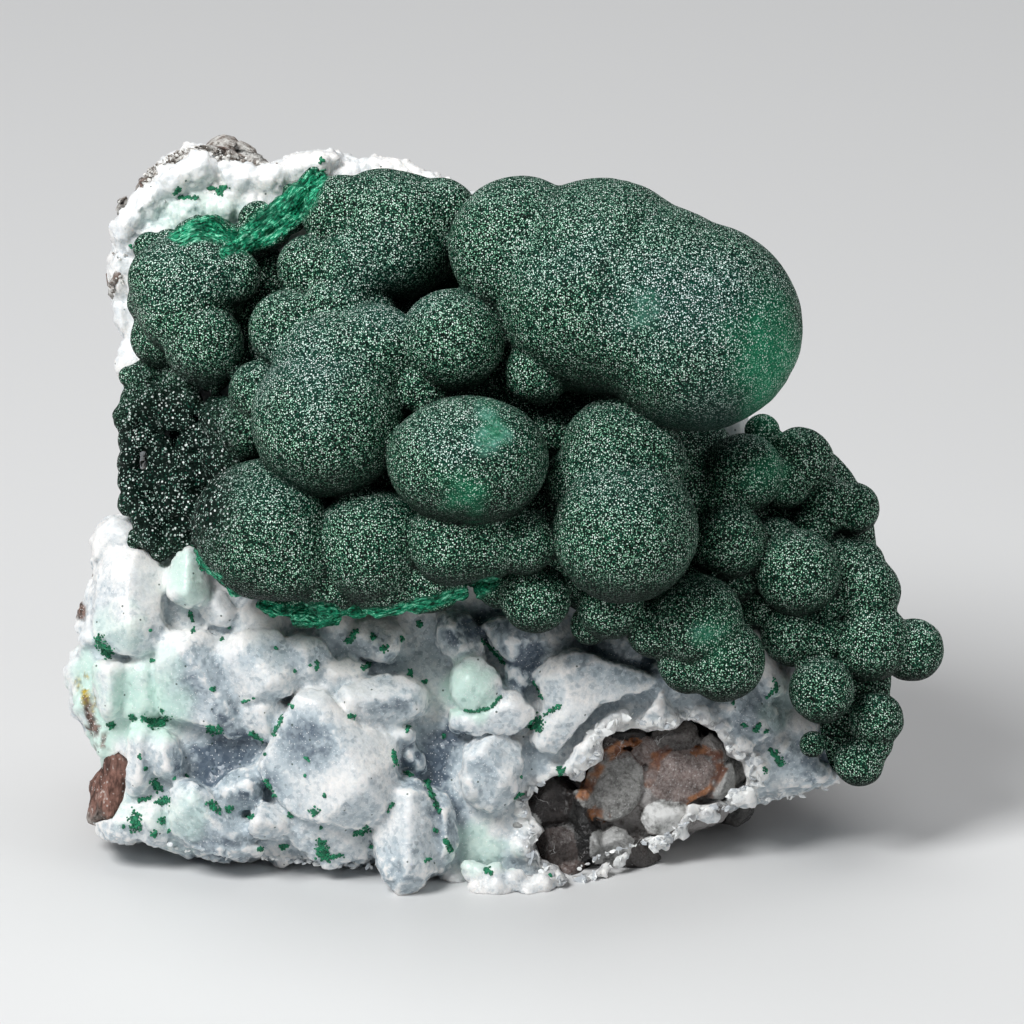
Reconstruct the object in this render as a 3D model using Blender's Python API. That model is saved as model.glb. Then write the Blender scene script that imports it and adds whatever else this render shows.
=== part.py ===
"""A quartz specimen: a crust of frosted quartz crystals on its own rock, overgrown with round malachite.

The specimen stands on its lower edge and leans back. Places on it are given on the face of the crust,
in millimetres: right and up along the face, and out of it towards the viewer.
"""
import math

import bmesh
import bpy
import numpy as np
from mathutils import Matrix, Vector

MM = 0.001
LEAN = math.radians(20)
PLACE = (-0.1, -14.6, -4.8)
GAP = 0.35

MALACHITE_GRAIN = 1.0
MALACHITE_KEPT = 0.066
QUARTZ_GRAIN = 1.0
QUARTZ_KEPT = 0.048
ROCK_GRAIN = 2.0
ROCK_KEPT = 0.05
SMOKY_GRAIN = 0.6
SMOKY_KEPT = 0.045

# Malachite lobes: right, up, out, radius, and where a lobe isn't round its width, height and depth factors.
LOBES = [
    # the sausage-shaped lobe at the top
    (23.8, 72.1, 23.9, 13.1),
    (18.4, 75.0, 24.0, 12.5),
    (11.9, 77.1, 22.0, 13.5),
    (7.1, 79.1, 21.2, 9.8),
    (1.9, 81.9, 21.0, 9.0),
    # behind its left end
    (-13.4, 83.6, 14.0, 8.0),
    (-15.6, 86.2, 13.1, 5.9),
    (-20.5, 86.5, 13.2, 4.8),
    (-8.1, 86.0, 14.2, 4.8),
    (-24.4, 79.6, 14.9, 4.1),
    (-18.8, 79.4, 15.8, 5.2),
    # the lump by the white rim
    (-39.6, 76.9, 9.8, 7.2),
    (-42.9, 78.5, 10.8, 4.2),
    (-37.5, 78.8, 12.8, 5.2),
    (-34.0, 78.6, 13.4, 3.6),
    (-40.6, 74.1, 11.8, 5.2),
    (-37.6, 70.0, 13.9, 5.1),
    (-43.4, 70.9, 8.4, 3.6),
    (-44.1, 75.4, 8.8, 3.2),
    # the row under it
    (-27.1, 71.9, 17.2, 4.8),
    (-20.9, 74.1, 17.4, 4.6),
    (-16.6, 73.4, 16.8, 3.2),
    (-30.6, 64.2, 16.1, 3.9),
    (-34.9, 60.6, 12.9, 3.1),
    (-32.5, 59.1, 14.6, 3.4),
    (-34.6, 56.2, 11.5, 3.5),
    # the middle
    (-22.1, 60.6, 21.4, 9.6),
    (-20.9, 66.2, 19.8, 8.2),
    (-16.2, 69.1, 21.0, 6.0),
    (-10.4, 65.1, 21.8, 4.2),
    (-6.5, 70.5, 23.5, 6.5),
    (4.0, 66.5, 22.9, 4.1),
    (-4.6, 55.5, 27.4, 10.1, 1, 0.8, 0.95),
    (6.2, 59.1, 17.0, 3.0),
    (7.1, 52.9, 17.0, 3.0),
    # below the middle
    (-6.6, 45.5, 24.5, 5.5),
    (-3.4, 46.2, 23.0, 6.0),
    (2.4, 45.6, 23.8, 4.2),
    (14.0, 56.6, 22.0, 7.0),
    (17.5, 55.4, 22.8, 5.2),
    (14.9, 46.9, 23.8, 9.2),
    (10.0, 52.9, 22.0, 5.0),
    # the lower row
    (-30.4, 46.9, 18.2, 8.8),
    (-27.5, 43.8, 20.0, 6.0),
    (-16.6, 45.0, 19.8, 7.2),
    (-9.4, 41.6, 18.8, 5.2),
    (-21.9, 40.2, 18.0, 4.0),
    (-15.0, 40.2, 18.8, 4.2),
    (3.8, 38.4, 19.6, 4.4),
    (-0.6, 40.0, 17.0, 3.0),
    (13.2, 37.4, 16.8, 4.2),
    (18.8, 34.6, 15.2, 3.8),
    (10.6, 35.0, 14.5, 2.5),
    (24.0, 35.6, 16.2, 5.8),
    (27.4, 30.6, 14.8, 5.2),
    (23.1, 30.6, 13.8, 4.2),
    # the grape-like cluster at the right
    (29.8, 54.0, 11.0, 5.0),
    (26.9, 50.6, 10.2, 3.8),
    (32.2, 59.2, 6.8, 2.2),
    (37.1, 55.6, 5.9, 4.1),
    (34.8, 52.9, 7.5, 3.5),
    (43.9, 49.6, 3.8, 3.2),
    (40.4, 50.0, 4.5, 3.5),
    (38.4, 47.2, 5.2, 2.8),
    (36.6, 41.6, 10.6, 5.4),
    (33.8, 45.0, 8.5, 3.5),
    (27.8, 45.6, 12.2, 4.8),
    (28.8, 41.0, 8.9, 3.1),
    (44.9, 42.9, 4.2, 2.8),
    (44.9, 39.1, 5.2, 4.8),
    (42.5, 41.9, 5.2, 3.8),
    (36.1, 33.8, 7.0, 4.0),
    (39.6, 33.6, 6.5, 3.5),
    (45.9, 32.9, 6.0, 5.0),
    (51.1, 31.8, 4.0, 4.0),
    (39.6, 26.8, 8.9, 4.1),
    (46.6, 23.1, 4.6, 3.4),
    (44.5, 17.8, 3.9, 3.1),
    (46.5, 20.0, 3.8, 2.2),
    (38.5, 20.0, 6.4, 1.6),
    (40.6, 37.9, 5.9, 3.1),
    (31.6, 37.1, 6.5, 2.5),
]

# The flat mounds that the lobes grow from, in the same order of values.
MOUNDS = [
    (-10.0, 58.0, 6.0, 20.0, 1.2, 0.95, 0.6),
    (16.0, 50.0, 5.0, 15.0, 1, 1, 0.65),
    (14.0, 72.0, 8.0, 13.0, 1.2, 0.9, 0.8),
    (-12.0, 83.0, 4.0, 8.0, 1.6, 0.9, 0.9),
    (-38.0, 75.0, 4.0, 7.0, 1, 1.3, 0.9),
    (-38.5, 55.0, 2.5, 9.0, 0.8, 1.25, 0.5),
    (36.0, 44.0, -1.0, 12.0, 0.9, 1.2, 0.5),
    (43.0, 28.0, -1.0, 7.0, 0.8, 1.7, 0.45),
    (24.0, 36.0, 4.0, 8.0, 1, 0.9, 0.7),
]

# Many small malachite grapes cover the left edge between these corners (right, up).
GRAPE_CORNERS = ((-47.6, 65.5), (-36.5, 66.0), (-35.5, 45.5), (-46.0, 45.0))
GRAPE_ROWS = 8
GRAPE_COLUMNS = 4
GRAPE_RADIUS = (1.7, 2.5)
GRAPE_OUT = (6.0, 9.5)

# Quartz crystals: the middle of the root, the point, and the radius.
CRYSTALS = [
    # the left edge
    ((-48.4, 36.6, -2), (-49.1, 44.1, 8), 2.5),
    ((-47.1, 35.0, 0), (-46.4, 41.2, 14), 4.8),
    ((-51.2, 33.1, -3), (-52.4, 33.9, 3), 1.9),
    ((-51.6, 26.9, -4), (-53.1, 29.1, 1), 2.2),
    ((-48.1, 25.6, -2), (-49.4, 27.6, 9), 3.0),
    ((-44.4, 25.6, -1), (-44.9, 26.9, 9), 3.5),
    ((-50.1, 20.0, -3), (-50.5, 20.4, 2), 1.6),
    ((-39.4, 36.9, 1), (-40.1, 42.4, 12), 3.0),
    # grey-blue crystals below the malachite
    ((-37.5, 26.9, -1), (-40.4, 31.9, 14), 5.0),
    ((-34.1, 23.1, 0), (-35.2, 25.6, 10), 2.8),
    ((-27.5, 28.1, 1), (-33.4, 29.6, 15), 4.5),
    ((-27.5, 25.0, 1), (-30.2, 22.9, 13), 3.0),
    ((-17.5, 31.9, 2), (-21.4, 27.6, 12), 3.2),
    ((-10.0, 26.6, 3), (-19.4, 25.4, 16), 3.2),
    # the large middle crystal
    ((-21.9, 14.4, -1), (-23.4, 22.1, 18), 6.8),
    ((-15.0, 14.4, 0), (-16.6, 17.5, 14), 5.0),
    # the hollow beside it and the crystals round it
    ((-31.9, 12.5, 1), (-34.9, 14.9, 12), 3.2),
    ((-27.5, 10.0, 2), (-30.9, 9.8, 13), 2.6),
    ((-38.1, 8.8, -3), (-39.0, 11.6, 11), 4.5),
    ((-44.4, 16.9, -2), (-45.6, 17.9, 10), 3.5),
    ((-40.9, 18.1, -1), (-42.1, 18.6, 9), 2.8),
    ((-45.6, 8.8, -5), (-46.1, 10.1, 5), 3.2),
    # the lower edge
    ((-23.1, 6.9, -1), (-25.0, 9.6, 11), 5.5),
    ((-17.9, 6.9, -1), (-17.4, 9.1, 11), 3.8),
    ((-12.6, 9.4, 1), (-12.6, 5.4, 14), 4.2),
    ((-7.4, 8.8, 0), (-7.4, 6.9, 11), 2.8),
    ((-1.9, 7.5, -2), (-2.6, 7.1, 6), 3.2),
    # right of the hollow
    ((-1.6, 14.4, 1), (-2.9, 18.4, 12), 4.0),
    ((-4.1, 25.6, 1), (-4.1, 27.6, 14), 3.5),
    ((-1.9, 24.1, 1), (0.0, 25.1, 11), 3.2),
    ((-6.2, 31.9, 1), (-6.6, 34.4, 10), 3.8),
    ((1.2, 30.0, 1), (1.1, 32.9, 11), 3.2),
    ((0.9, 26.9, 0), (0.6, 28.1, 9), 2.5),
    # the smooth white crystals
    ((10.9, 23.8, -1), (9.1, 28.1, 14), 6.2),
    ((15.6, 25.6, -1), (15.0, 26.9, 11), 4.2),
    ((7.5, 16.9, -1), (6.4, 20.6, 12), 5.5),
    ((2.9, 15.6, -1), (2.6, 17.9, 10), 3.8),
    # the grey strip at the right
    ((27.1, 23.8, -2), (27.9, 24.9, 7), 2.8),
    ((33.1, 20.0, -3), (33.4, 21.6, 7), 3.5),
    ((36.2, 16.2, -4), (36.2, 17.1, 5), 3.0),
    ((31.6, 14.4, -4), (31.4, 15.4, 5), 2.2),
]

# Rounded lumps of quartz: right, up, out, radius.
HUMPS = [
    # the cauliflower lumps on the lower edge
    (-2.1, 2.6, 9, 2.5),
    (3.4, 2.6, 9, 2.8),
    (0.4, 3.4, 8, 2.5),
    (6.4, 2.9, 6, 1.9),
    # the crust round the broken window
    (5.0, 14.4, 5, 2.0),
    (2.5, 11.2, 5, 2.0),
    (3.1, 7.5, 5, 1.9),
    (8.8, 17.1, 5, 2.1),
    (12.5, 21.2, 6, 1.6),
    (16.9, 24.1, 7, 2.5),
    (19.9, 24.6, 9, 2.1),
    (23.8, 23.6, 6, 1.9),
    (27.9, 20.0, 5, 1.5),
    (31.2, 16.9, 4, 1.8),
    (24.4, 11.6, 3, 1.5),
    (20.0, 9.6, 2, 1.6),
    (11.9, 6.6, 4, 1.8),
    # under the malachite
    (-30.6, 35.4, 6, 3.2),
    (-21.2, 34.1, 6, 4.0),
    (-13.1, 33.1, 6, 4.0),
    (14.4, 31.6, 5, 3.8),
    (20.0, 27.1, 6, 2.8),
    (33.1, 28.1, 3, 2.5),
    (36.9, 21.9, 2, 2.5),
    # the rim at the top left
    (-46.4, 67.6, 3, 2.4),
    (-47.6, 75.0, 2, 1.5),
    (-47.4, 79.4, 3, 2.0),
    (-46.6, 83.4, 4, 2.2),
    (-44.9, 87.2, 4.5, 2.5),
    (-41.6, 90.2, 4.5, 2.6),
    (-37.6, 91.4, 4.5, 2.4),
    (-33.2, 90.2, 4.5, 2.4),
    (-28.9, 90.4, 4.5, 2.2),
    (-24.4, 91.2, 4.5, 2.0),
    (-19.6, 91.4, 3.5, 1.8),
    (-14.6, 91.0, 2.5, 1.6),
    (-42.9, 83.4, 5.5, 2.4),
    (-39.4, 86.6, 6, 2.4),
    (-35.4, 87.2, 6, 2.2),
    (-31.2, 86.6, 6, 2.2),
    (-27.4, 87.2, 5.5, 2.0),
    (-36.6, 83.2, 5.5, 2.2),
    (-32.4, 82.6, 5.5, 2.4),
    (-49.1, 46.9, -2, 2.0),
]

# Outline of the quartz crust, clockwise from the left end of the top rim (right, up).
CRUST_OUTLINE = [
    (-46.5, 72.5), (-48.2, 75.6), (-49.0, 79.4), (-49.2, 82.9), (-47.8, 86.0), (-45.9, 89.4),
    (-43.1, 92.5), (-39.9, 94.2), (-36.2, 94.2), (-31.9, 92.8), (-26.9, 92.8), (-21.9, 93.5),
    (-15.6, 92.9), (-9.4, 91.4),
    # hidden behind the malachite
    (-0.6, 88.0), (11.9, 86.0), (24.4, 81.0), (31.0, 73.0), (32.0, 64.4), (31.5, 58.1),
    (38.0, 52.4), (43.0, 46.0), (44.5, 38.1), (46.5, 31.9), (45.9, 25.6), (44.0, 20.0),
    # the lower edge, right to left
    (41.9, 15.2), (36.9, 13.5), (31.2, 12.8), (24.4, 10.9), (19.4, 8.4), (11.9, 5.9),
    (6.9, 3.1), (3.1, 1.8), (-1.9, 1.8), (-5.6, 3.1), (-9.4, 4.1), (-16.2, 4.6),
    (-24.4, 5.1), (-31.2, 5.9), (-37.5, 5.9), (-42.5, 7.4), (-50.0, 8.8),
    # the left edge, upwards
    (-51.5, 10.9), (-49.9, 15.0), (-50.9, 18.8), (-52.2, 21.2), (-54.1, 25.0), (-54.8, 29.1),
    (-52.9, 32.5), (-52.4, 38.1), (-51.6, 43.1), (-49.4, 48.1), (-46.9, 50.6), (-46.2, 56.9),
    (-46.5, 63.1), (-47.6, 65.0), (-47.9, 70.0),
]
# How far out each ring of the crust is, and how far inside the outline it runs.
CRUST_RINGS = [
    (6.0, 34.0), (6.0, 24.0), (6.0, 14.0), (6.0, 4.0), (3.0, 0.6), (-2.0, 0.0), (-6.0, 1.2),
    (-7.0, 12.0), (-7.0, 24.0), (-7.0, 34.0),
]
# The crust curves back to the right of this line, by this share of the distance.
CURVES_FROM = 22.0
CURVE_BACK = 0.28

ROCK_OUTLINE = [
    (-47.0, 70.6), (-48.6, 75.6), (-49.8, 80.4), (-49.1, 83.8), (-48.1, 87.5), (-46.4, 90.6),
    (-44.4, 92.8), (-40.6, 95.0), (-36.2, 95.2), (-32.5, 94.1), (-29.4, 93.1), (-25.6, 94.1),
    (-21.9, 94.2), (-16.9, 93.5), (-13.1, 92.5), (-8.1, 90.4),
    # hidden behind the malachite
    (1.9, 86.2), (14.4, 84.4), (24.4, 79.4), (30.6, 71.9), (31.2, 63.1), (30.0, 56.9),
    (36.9, 50.6), (41.9, 43.1), (43.1, 33.1), (43.1, 25.6), (39.4, 20.6),
    # the lower edge, right to left
    (33.1, 17.5), (26.9, 14.4), (19.4, 11.2), (11.9, 8.1), (1.9, 5.0), (-10.6, 5.6),
    (-23.1, 6.9), (-35.6, 7.9), (-45.6, 8.8),
    # the left edge, upwards
    (-51.6, 10.9), (-50.6, 16.9), (-51.9, 21.2), (-53.6, 25.6), (-53.1, 31.9), (-52.6, 36.9),
    (-50.6, 43.1), (-47.1, 49.4), (-46.2, 56.9), (-46.6, 63.1), (-47.5, 68.1),
]
ROCK_RINGS = [
    (-4.0, 30.0), (-4.0, 16.0), (-4.0, 1.0), (-9.0, 0.0), (-18.0, 2.5), (-24.0, 8.0),
    (-28.0, 16.0), (-29.0, 30.0),
]
ROCK_THINS_ABOVE = 45.0
ROCK_THINNEST = 0.5

# The break at the lower right where the crust is missing, and the bare patch of rock at the left.
BREAK_OUTLINE = [
    (3.1, 13.1), (6.2, 15.0), (10.0, 17.5), (11.9, 20.0), (13.1, 22.1), (16.9, 22.9), (18.8, 25.0),
    (23.1, 24.1), (26.2, 22.9), (29.4, 19.4), (30.4, 15.0), (26.9, 13.1), (23.1, 12.0), (20.6, 10.0),
    (16.9, 8.1), (13.5, 9.8), (11.2, 7.5), (7.5, 4.6), (5.6, 6.2), (4.1, 8.0), (5.0, 10.6), (2.6, 11.6),
]
BREAK_FLOOR = -9.0
PATCH_OUTLINE = [(-52.5, 10.5), (-50.6, 17.5), (-48.4, 19.6), (-47.2, 18.1), (-47.9, 14.4), (-49.1, 10.4)]
PATCH_FLOOR = 0.5
PATCH_ROCK = ((-50.2, 14.8, -2.5), (2.6, 4.4, 4.6), 61)

# Smoky quartz in the break: middle, half sizes and the seed of each broken crystal.
SMOKY_PIECES = [
    ((15.0, 14.6, -6.0), (13.0, 7.0, 3.4), 3),
    # the black crystals
    ((8.0, 12.4, -0.6), (4.6, 4.2, 4.4), 11),
    ((7.4, 7.8, -0.8), (3.4, 3.2, 3.8), 12),
    ((10.6, 8.8, -1.6), (2.8, 3.0, 3.4), 13),
    # the grey and the brown pebble
    ((13.6, 14.6, -0.4), (3.9, 4.9, 4.2), 21),
    ((22.2, 15.6, -1.4), (4.9, 4.0, 4.2), 22),
    ((19.4, 11.0, -2.4), (3.4, 2.6, 3.0), 23),
    # dark pieces above them
    ((15.4, 20.8, -1.8), (3.4, 1.9, 3.0), 31),
    ((21.4, 21.4, -1.6), (3.6, 2.2, 3.0), 32),
    ((28.0, 16.0, -2.6), (2.6, 3.0, 2.8), 33),
    # the bits that stick out below the crust
    ((15.8, 6.4, 0.2), (3.2, 2.3, 3.2), 41),
    ((29.2, 11.9, -10.5), (2.2, 2.6, 4.0), 42),
    ((25.0, 12.4, -8.5), (4.5, 2.4, 3.4), 43),
]
SMOKY_CORNERS = 22


def clear_scene():
    for thing in list(bpy.data.objects):
        bpy.data.objects.remove(thing, do_unlink=True)


def make_material(name, colour, roughness):
    material = bpy.data.materials.new(name)
    material.use_nodes = True
    shader = material.node_tree.nodes["Principled BSDF"]
    shader.inputs["Base Color"].default_value = (*colour, 1.0)
    shader.inputs["Roughness"].default_value = roughness
    shader.inputs["Metallic"].default_value = 0.0
    return material


def spot(right, up, out):
    """A place on the face of the crust, as the leaning frame counts it."""
    return Vector((right, -out, up)) * MM


def add_lean():
    lean = bpy.data.objects.new("lean", None)
    lean.location = Vector(PLACE) * MM
    lean.rotation_euler = (-LEAN, 0.0, 0.0)
    bpy.context.collection.objects.link(lean)
    return lean


def add_object(name, shape, lean, material=None):
    mesh = bpy.data.meshes.new(name)
    shape.to_mesh(mesh)
    shape.free()
    piece = bpy.data.objects.new(name, mesh)
    if material:
        mesh.materials.append(material)
    piece.parent = lean
    bpy.context.collection.objects.link(piece)
    return piece


def hide_as_cutter(piece):
    piece.hide_render = True
    piece.display_type = 'WIRE'


def add_lobe(shape, right, up, out, radius, wide=1.0, tall=1.0, deep=1.0):
    place = Matrix.Translation(spot(right, up, out)) @ Matrix.Diagonal((wide, deep, tall, 1.0))
    bmesh.ops.create_icosphere(shape, subdivisions=3, radius=radius * MM, matrix=place)


def add_crystal(shape, root, point, radius):
    """A six-sided rod whose last part narrows to a blunt point."""
    start = spot(*root)
    end = spot(*point)
    along = (end - start).normalized()
    turn = along.to_track_quat('Z', 'Y').to_matrix().to_4x4()
    shaft = (end - start).length - 0.75 * radius * MM
    middle = start + along * shaft / 2
    bmesh.ops.create_cone(
        shape, cap_ends=True, segments=6, radius1=1.15 * radius * MM, radius2=radius * MM,
        depth=shaft, matrix=Matrix.Translation(middle) @ turn,
    )
    blunt = 0.9 * radius * MM
    middle = start + along * (shaft + blunt / 2 - 0.1 * radius * MM)
    bmesh.ops.create_cone(
        shape, cap_ends=True, segments=6, radius1=radius * MM, radius2=0.3 * radius * MM,
        depth=blunt, matrix=Matrix.Translation(middle) @ turn,
    )


def flat_depth(right, up, out):
    return out


def crust_depth(right, up, out):
    """The crust curves back towards its right end."""
    return out - CURVE_BACK * max(0.0, right - CURVES_FROM)


def rock_depth(right, up, out):
    """The rock follows the crust, and gets thinner towards the top."""
    above = max(0.0, up - ROCK_THINS_ABOVE) / (95.0 - ROCK_THINS_ABOVE)
    return crust_depth(right, up, out * (1.0 - (1.0 - ROCK_THINNEST) * above))


def add_slab(shape, outline, rings, depth=flat_depth):
    """A closed slab: the outline repeated at each ring's depth, moved in towards the middle."""
    middle = Vector((sum(p[0] for p in outline), sum(p[1] for p in outline))) / len(outline)
    loops = []
    for out, inset in rings:
        loop = []
        for right, up in outline:
            inward = middle - Vector((right, up))
            step = min(inset, 0.8 * inward.length)
            moved = Vector((right, up)) + inward.normalized() * step
            loop.append(shape.verts.new(spot(moved.x, moved.y, depth(moved.x, moved.y, out))))
        loops.append(loop)
    for near, far in zip(loops, loops[1:]):
        for i in range(len(near)):
            j = (i + 1) % len(near)
            shape.faces.new((near[i], near[j], far[j], far[i]))
    shape.faces.new(loops[0])
    shape.faces.new(list(reversed(loops[-1])))
    bmesh.ops.triangulate(shape, faces=shape.faces[:])
    bmesh.ops.recalc_face_normals(shape, faces=shape.faces[:])


def add_chunk(shape, middle, half_sizes, seed):
    """A broken piece with flat faces: the hull of a few corners scattered over an ellipsoid."""
    random = np.random.default_rng(seed)
    corners = random.normal(size=(SMOKY_CORNERS, 3))
    corners /= np.linalg.norm(corners, axis=1)[:, None]
    corners *= random.uniform(0.86, 1.06, size=(SMOKY_CORNERS, 1))
    verts = []
    for x, y, z in corners:
        place = (middle[0] + x * half_sizes[0], middle[1] + y * half_sizes[1], middle[2] + z * half_sizes[2])
        verts.append(shape.verts.new(spot(*place)))
    hull = bmesh.ops.convex_hull(shape, input=verts)
    loose = [thing for thing in hull["geom_interior"] if isinstance(thing, bmesh.types.BMVert)]
    bmesh.ops.delete(shape, geom=loose, context='VERTS')


def join_by_grain(piece, grain, soften, kept, roughen=None):
    """Join overlapping shapes into one skin, soften it, and thin it to the faces that it needs."""
    remesh = piece.modifiers.new("Join", 'REMESH')
    remesh.mode = 'VOXEL'
    remesh.voxel_size = grain * MM
    if soften:
        smooth = piece.modifiers.new("Soften", 'SMOOTH')
        smooth.factor = 0.5
        smooth.iterations = soften
    for i, (kind, size, strength) in enumerate(roughen or []):
        texture = bpy.data.textures.new(f"{piece.name}_{i}", kind)
        texture.noise_scale = size * MM
        displace = piece.modifiers.new("Roughen", 'DISPLACE')
        displace.texture = texture
        displace.texture_coords = 'LOCAL'
        displace.strength = strength * MM
        displace.mid_level = 0.5
    thin = piece.modifiers.new("Thin", 'DECIMATE')
    thin.ratio = kept


def cut(piece, cutter):
    """Take the cutter's space out of the piece. A swollen cutter crosses itself in its creases."""
    boolean = piece.modifiers.new("Cut", 'BOOLEAN')
    boolean.operation = 'DIFFERENCE'
    boolean.solver = 'EXACT'
    boolean.use_self = "Swell" in cutter.modifiers
    boolean.object = cutter


def settle(piece):
    """Fix the shape as its modifiers leave it, and keep only its largest body."""
    bpy.context.view_layer.update()
    evaluated = piece.evaluated_get(bpy.context.evaluated_depsgraph_get())
    mesh = bpy.data.meshes.new_from_object(evaluated)
    piece.modifiers.clear()
    shape = bmesh.new()
    shape.from_mesh(mesh)
    bmesh.ops.triangulate(shape, faces=shape.faces[:])
    bodies = []
    left = set(shape.faces)
    while left:
        front = [left.pop()]
        body = []
        while front:
            face = front.pop()
            body.append(face)
            for edge in face.edges:
                for other in edge.link_faces:
                    if other in left:
                        left.remove(other)
                        front.append(other)
        bodies.append(body)
    bodies.sort(key=lambda body: sum(face.calc_area() for face in body))
    spare = [face for body in bodies[:-1] for face in body]
    bmesh.ops.delete(shape, geom=spare, context='FACES')
    shape.to_mesh(mesh)
    shape.free()
    piece.data = mesh
    return piece


def add_grown_cutter(piece, lean):
    """A copy of a settled piece, a gap's width larger all over."""
    grown = bpy.data.objects.new(f"room_for_{piece.name}", piece.data.copy())
    grown.parent = lean
    bpy.context.collection.objects.link(grown)
    swell = grown.modifiers.new("Swell", 'DISPLACE')
    swell.strength = GAP * MM
    swell.mid_level = 0.0
    hide_as_cutter(grown)
    return grown


def add_prism_cutter(name, outline, floor, lean):
    """A prism over an outline, from the floor given to well in front of the crust."""
    shape = bmesh.new()
    add_slab(shape, outline, [(30.0, 0.0), (floor, 0.0)])
    cutter = add_object(name, shape, lean)
    hide_as_cutter(cutter)
    return cutter


def add_ground():
    """The space under the table's top, which flattens what reaches it."""
    shape = bmesh.new()
    bmesh.ops.create_cube(shape, size=0.3, matrix=Matrix.Translation((0.0, 0.0, -0.15)))
    ground = add_object("ground", shape, None)
    hide_as_cutter(ground)
    return ground


def add_grapes(shape):
    """Rows of small lobes between four corners, each moved a little from its row."""
    random = np.random.default_rng(7)
    top_left, top_right, low_right, low_left = (np.array(corner) for corner in GRAPE_CORNERS)
    for row in range(GRAPE_ROWS):
        down = row / (GRAPE_ROWS - 1)
        left = top_left + (low_left - top_left) * down
        right = top_right + (low_right - top_right) * down
        for column in range(GRAPE_COLUMNS):
            across = (column + 0.5 * (row % 2)) / (GRAPE_COLUMNS - 0.5)
            place = left + (right - left) * across + random.uniform(-0.4, 0.4, 2)
            out = GRAPE_OUT[0] + (GRAPE_OUT[1] - GRAPE_OUT[0]) * across + random.uniform(-0.7, 0.7)
            add_lobe(shape, place[0], place[1], out, random.uniform(*GRAPE_RADIUS))


def make_malachite(lean, room_for_crust):
    shape = bmesh.new()
    for lobe in LOBES + MOUNDS:
        add_lobe(shape, *lobe)
    add_grapes(shape)
    material = make_material("malachite", (0.02, 0.09, 0.06), 0.55)
    malachite = add_object("malachite", shape, lean, material)
    join_by_grain(malachite, MALACHITE_GRAIN, 0, MALACHITE_KEPT)
    cut(malachite, room_for_crust)
    return settle(malachite)


def make_smoky_quartz(lean, ground):
    shape = bmesh.new()
    for middle, half_sizes, seed in SMOKY_PIECES:
        add_chunk(shape, middle, half_sizes, seed)
    material = make_material("smoky_quartz", (0.05, 0.04, 0.04), 0.2)
    smoky = add_object("smoky_quartz", shape, lean, material)
    join_by_grain(smoky, SMOKY_GRAIN, 0, SMOKY_KEPT)
    cut(smoky, ground)
    return settle(smoky)


def make_matrix_rock(lean, cutters):
    shape = bmesh.new()
    add_slab(shape, ROCK_OUTLINE, ROCK_RINGS, rock_depth)
    add_chunk(shape, *PATCH_ROCK)
    material = make_material("matrix_rock", (0.28, 0.22, 0.19), 0.85)
    rock = add_object("matrix_rock", shape, lean, material)
    join_by_grain(rock, ROCK_GRAIN, 0, ROCK_KEPT, [('VORONOI', 9.0, 3.0), ('CLOUDS', 3.0, 1.0)])
    for cutter in cutters:
        cut(rock, cutter)
    return settle(rock)


def make_quartz_crust(lean, cutters):
    shape = bmesh.new()
    add_slab(shape, CRUST_OUTLINE, CRUST_RINGS, crust_depth)
    for root, point, radius in CRYSTALS:
        add_crystal(shape, root, point, radius)
    for hump in HUMPS:
        add_lobe(shape, *hump)
    material = make_material("quartz_crust", (0.78, 0.8, 0.82), 0.4)
    crust = add_object("quartz_crust", shape, lean, material)
    join_by_grain(crust, QUARTZ_GRAIN, 1, QUARTZ_KEPT)
    for cutter in cutters:
        cut(crust, cutter)
    return settle(crust)


def main():
    clear_scene()
    lean = add_lean()
    ground = add_ground()
    smoky = make_smoky_quartz(lean, ground)
    room_for_smoky = add_grown_cutter(smoky, lean)
    the_break = add_prism_cutter("the_break", BREAK_OUTLINE, BREAK_FLOOR, lean)
    bare_patch = add_prism_cutter("bare_patch", PATCH_OUTLINE, PATCH_FLOOR, lean)
    crust = make_quartz_crust(lean, [ground, bare_patch, the_break, room_for_smoky])
    room_for_crust = add_grown_cutter(crust, lean)
    make_matrix_rock(lean, [ground, room_for_smoky, room_for_crust])
    make_malachite(lean, room_for_crust)


main()
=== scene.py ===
import math
import bmesh
import bpy
import numpy as np
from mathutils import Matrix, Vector
from mathutils.bvhtree import BVHTree


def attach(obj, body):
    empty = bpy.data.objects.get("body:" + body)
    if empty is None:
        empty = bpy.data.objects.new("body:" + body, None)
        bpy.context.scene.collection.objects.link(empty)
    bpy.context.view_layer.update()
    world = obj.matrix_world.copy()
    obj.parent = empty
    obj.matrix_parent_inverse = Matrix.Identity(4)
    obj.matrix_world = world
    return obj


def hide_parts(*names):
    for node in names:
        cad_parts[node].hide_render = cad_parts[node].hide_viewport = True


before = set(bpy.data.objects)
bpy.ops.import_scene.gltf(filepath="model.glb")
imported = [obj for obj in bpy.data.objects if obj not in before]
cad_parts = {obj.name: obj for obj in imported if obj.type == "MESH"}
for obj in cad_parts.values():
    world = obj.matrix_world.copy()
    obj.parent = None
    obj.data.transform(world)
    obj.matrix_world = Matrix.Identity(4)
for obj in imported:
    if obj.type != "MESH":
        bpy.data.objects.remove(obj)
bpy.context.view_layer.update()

# Places are given on the specimen's leaning face in mm: right, up along it, and out towards the viewer
specimen = {"lean": math.radians(20), "shift": (-0.1, -14.6, -4.8), "mm": 0.001}


def toWorld(face):
    # Leans the face back about X, shifts it onto the table, and turns mm into metres
    c, s = math.cos(specimen["lean"]), math.sin(specimen["lean"])
    face = np.asarray(face, float)
    right, up, out = face[..., 0], face[..., 1], face[..., 2]
    world = np.stack([right, up * s - out * c, up * c + out * s], axis=-1)
    return (world + specimen["shift"]) * specimen["mm"]


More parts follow.
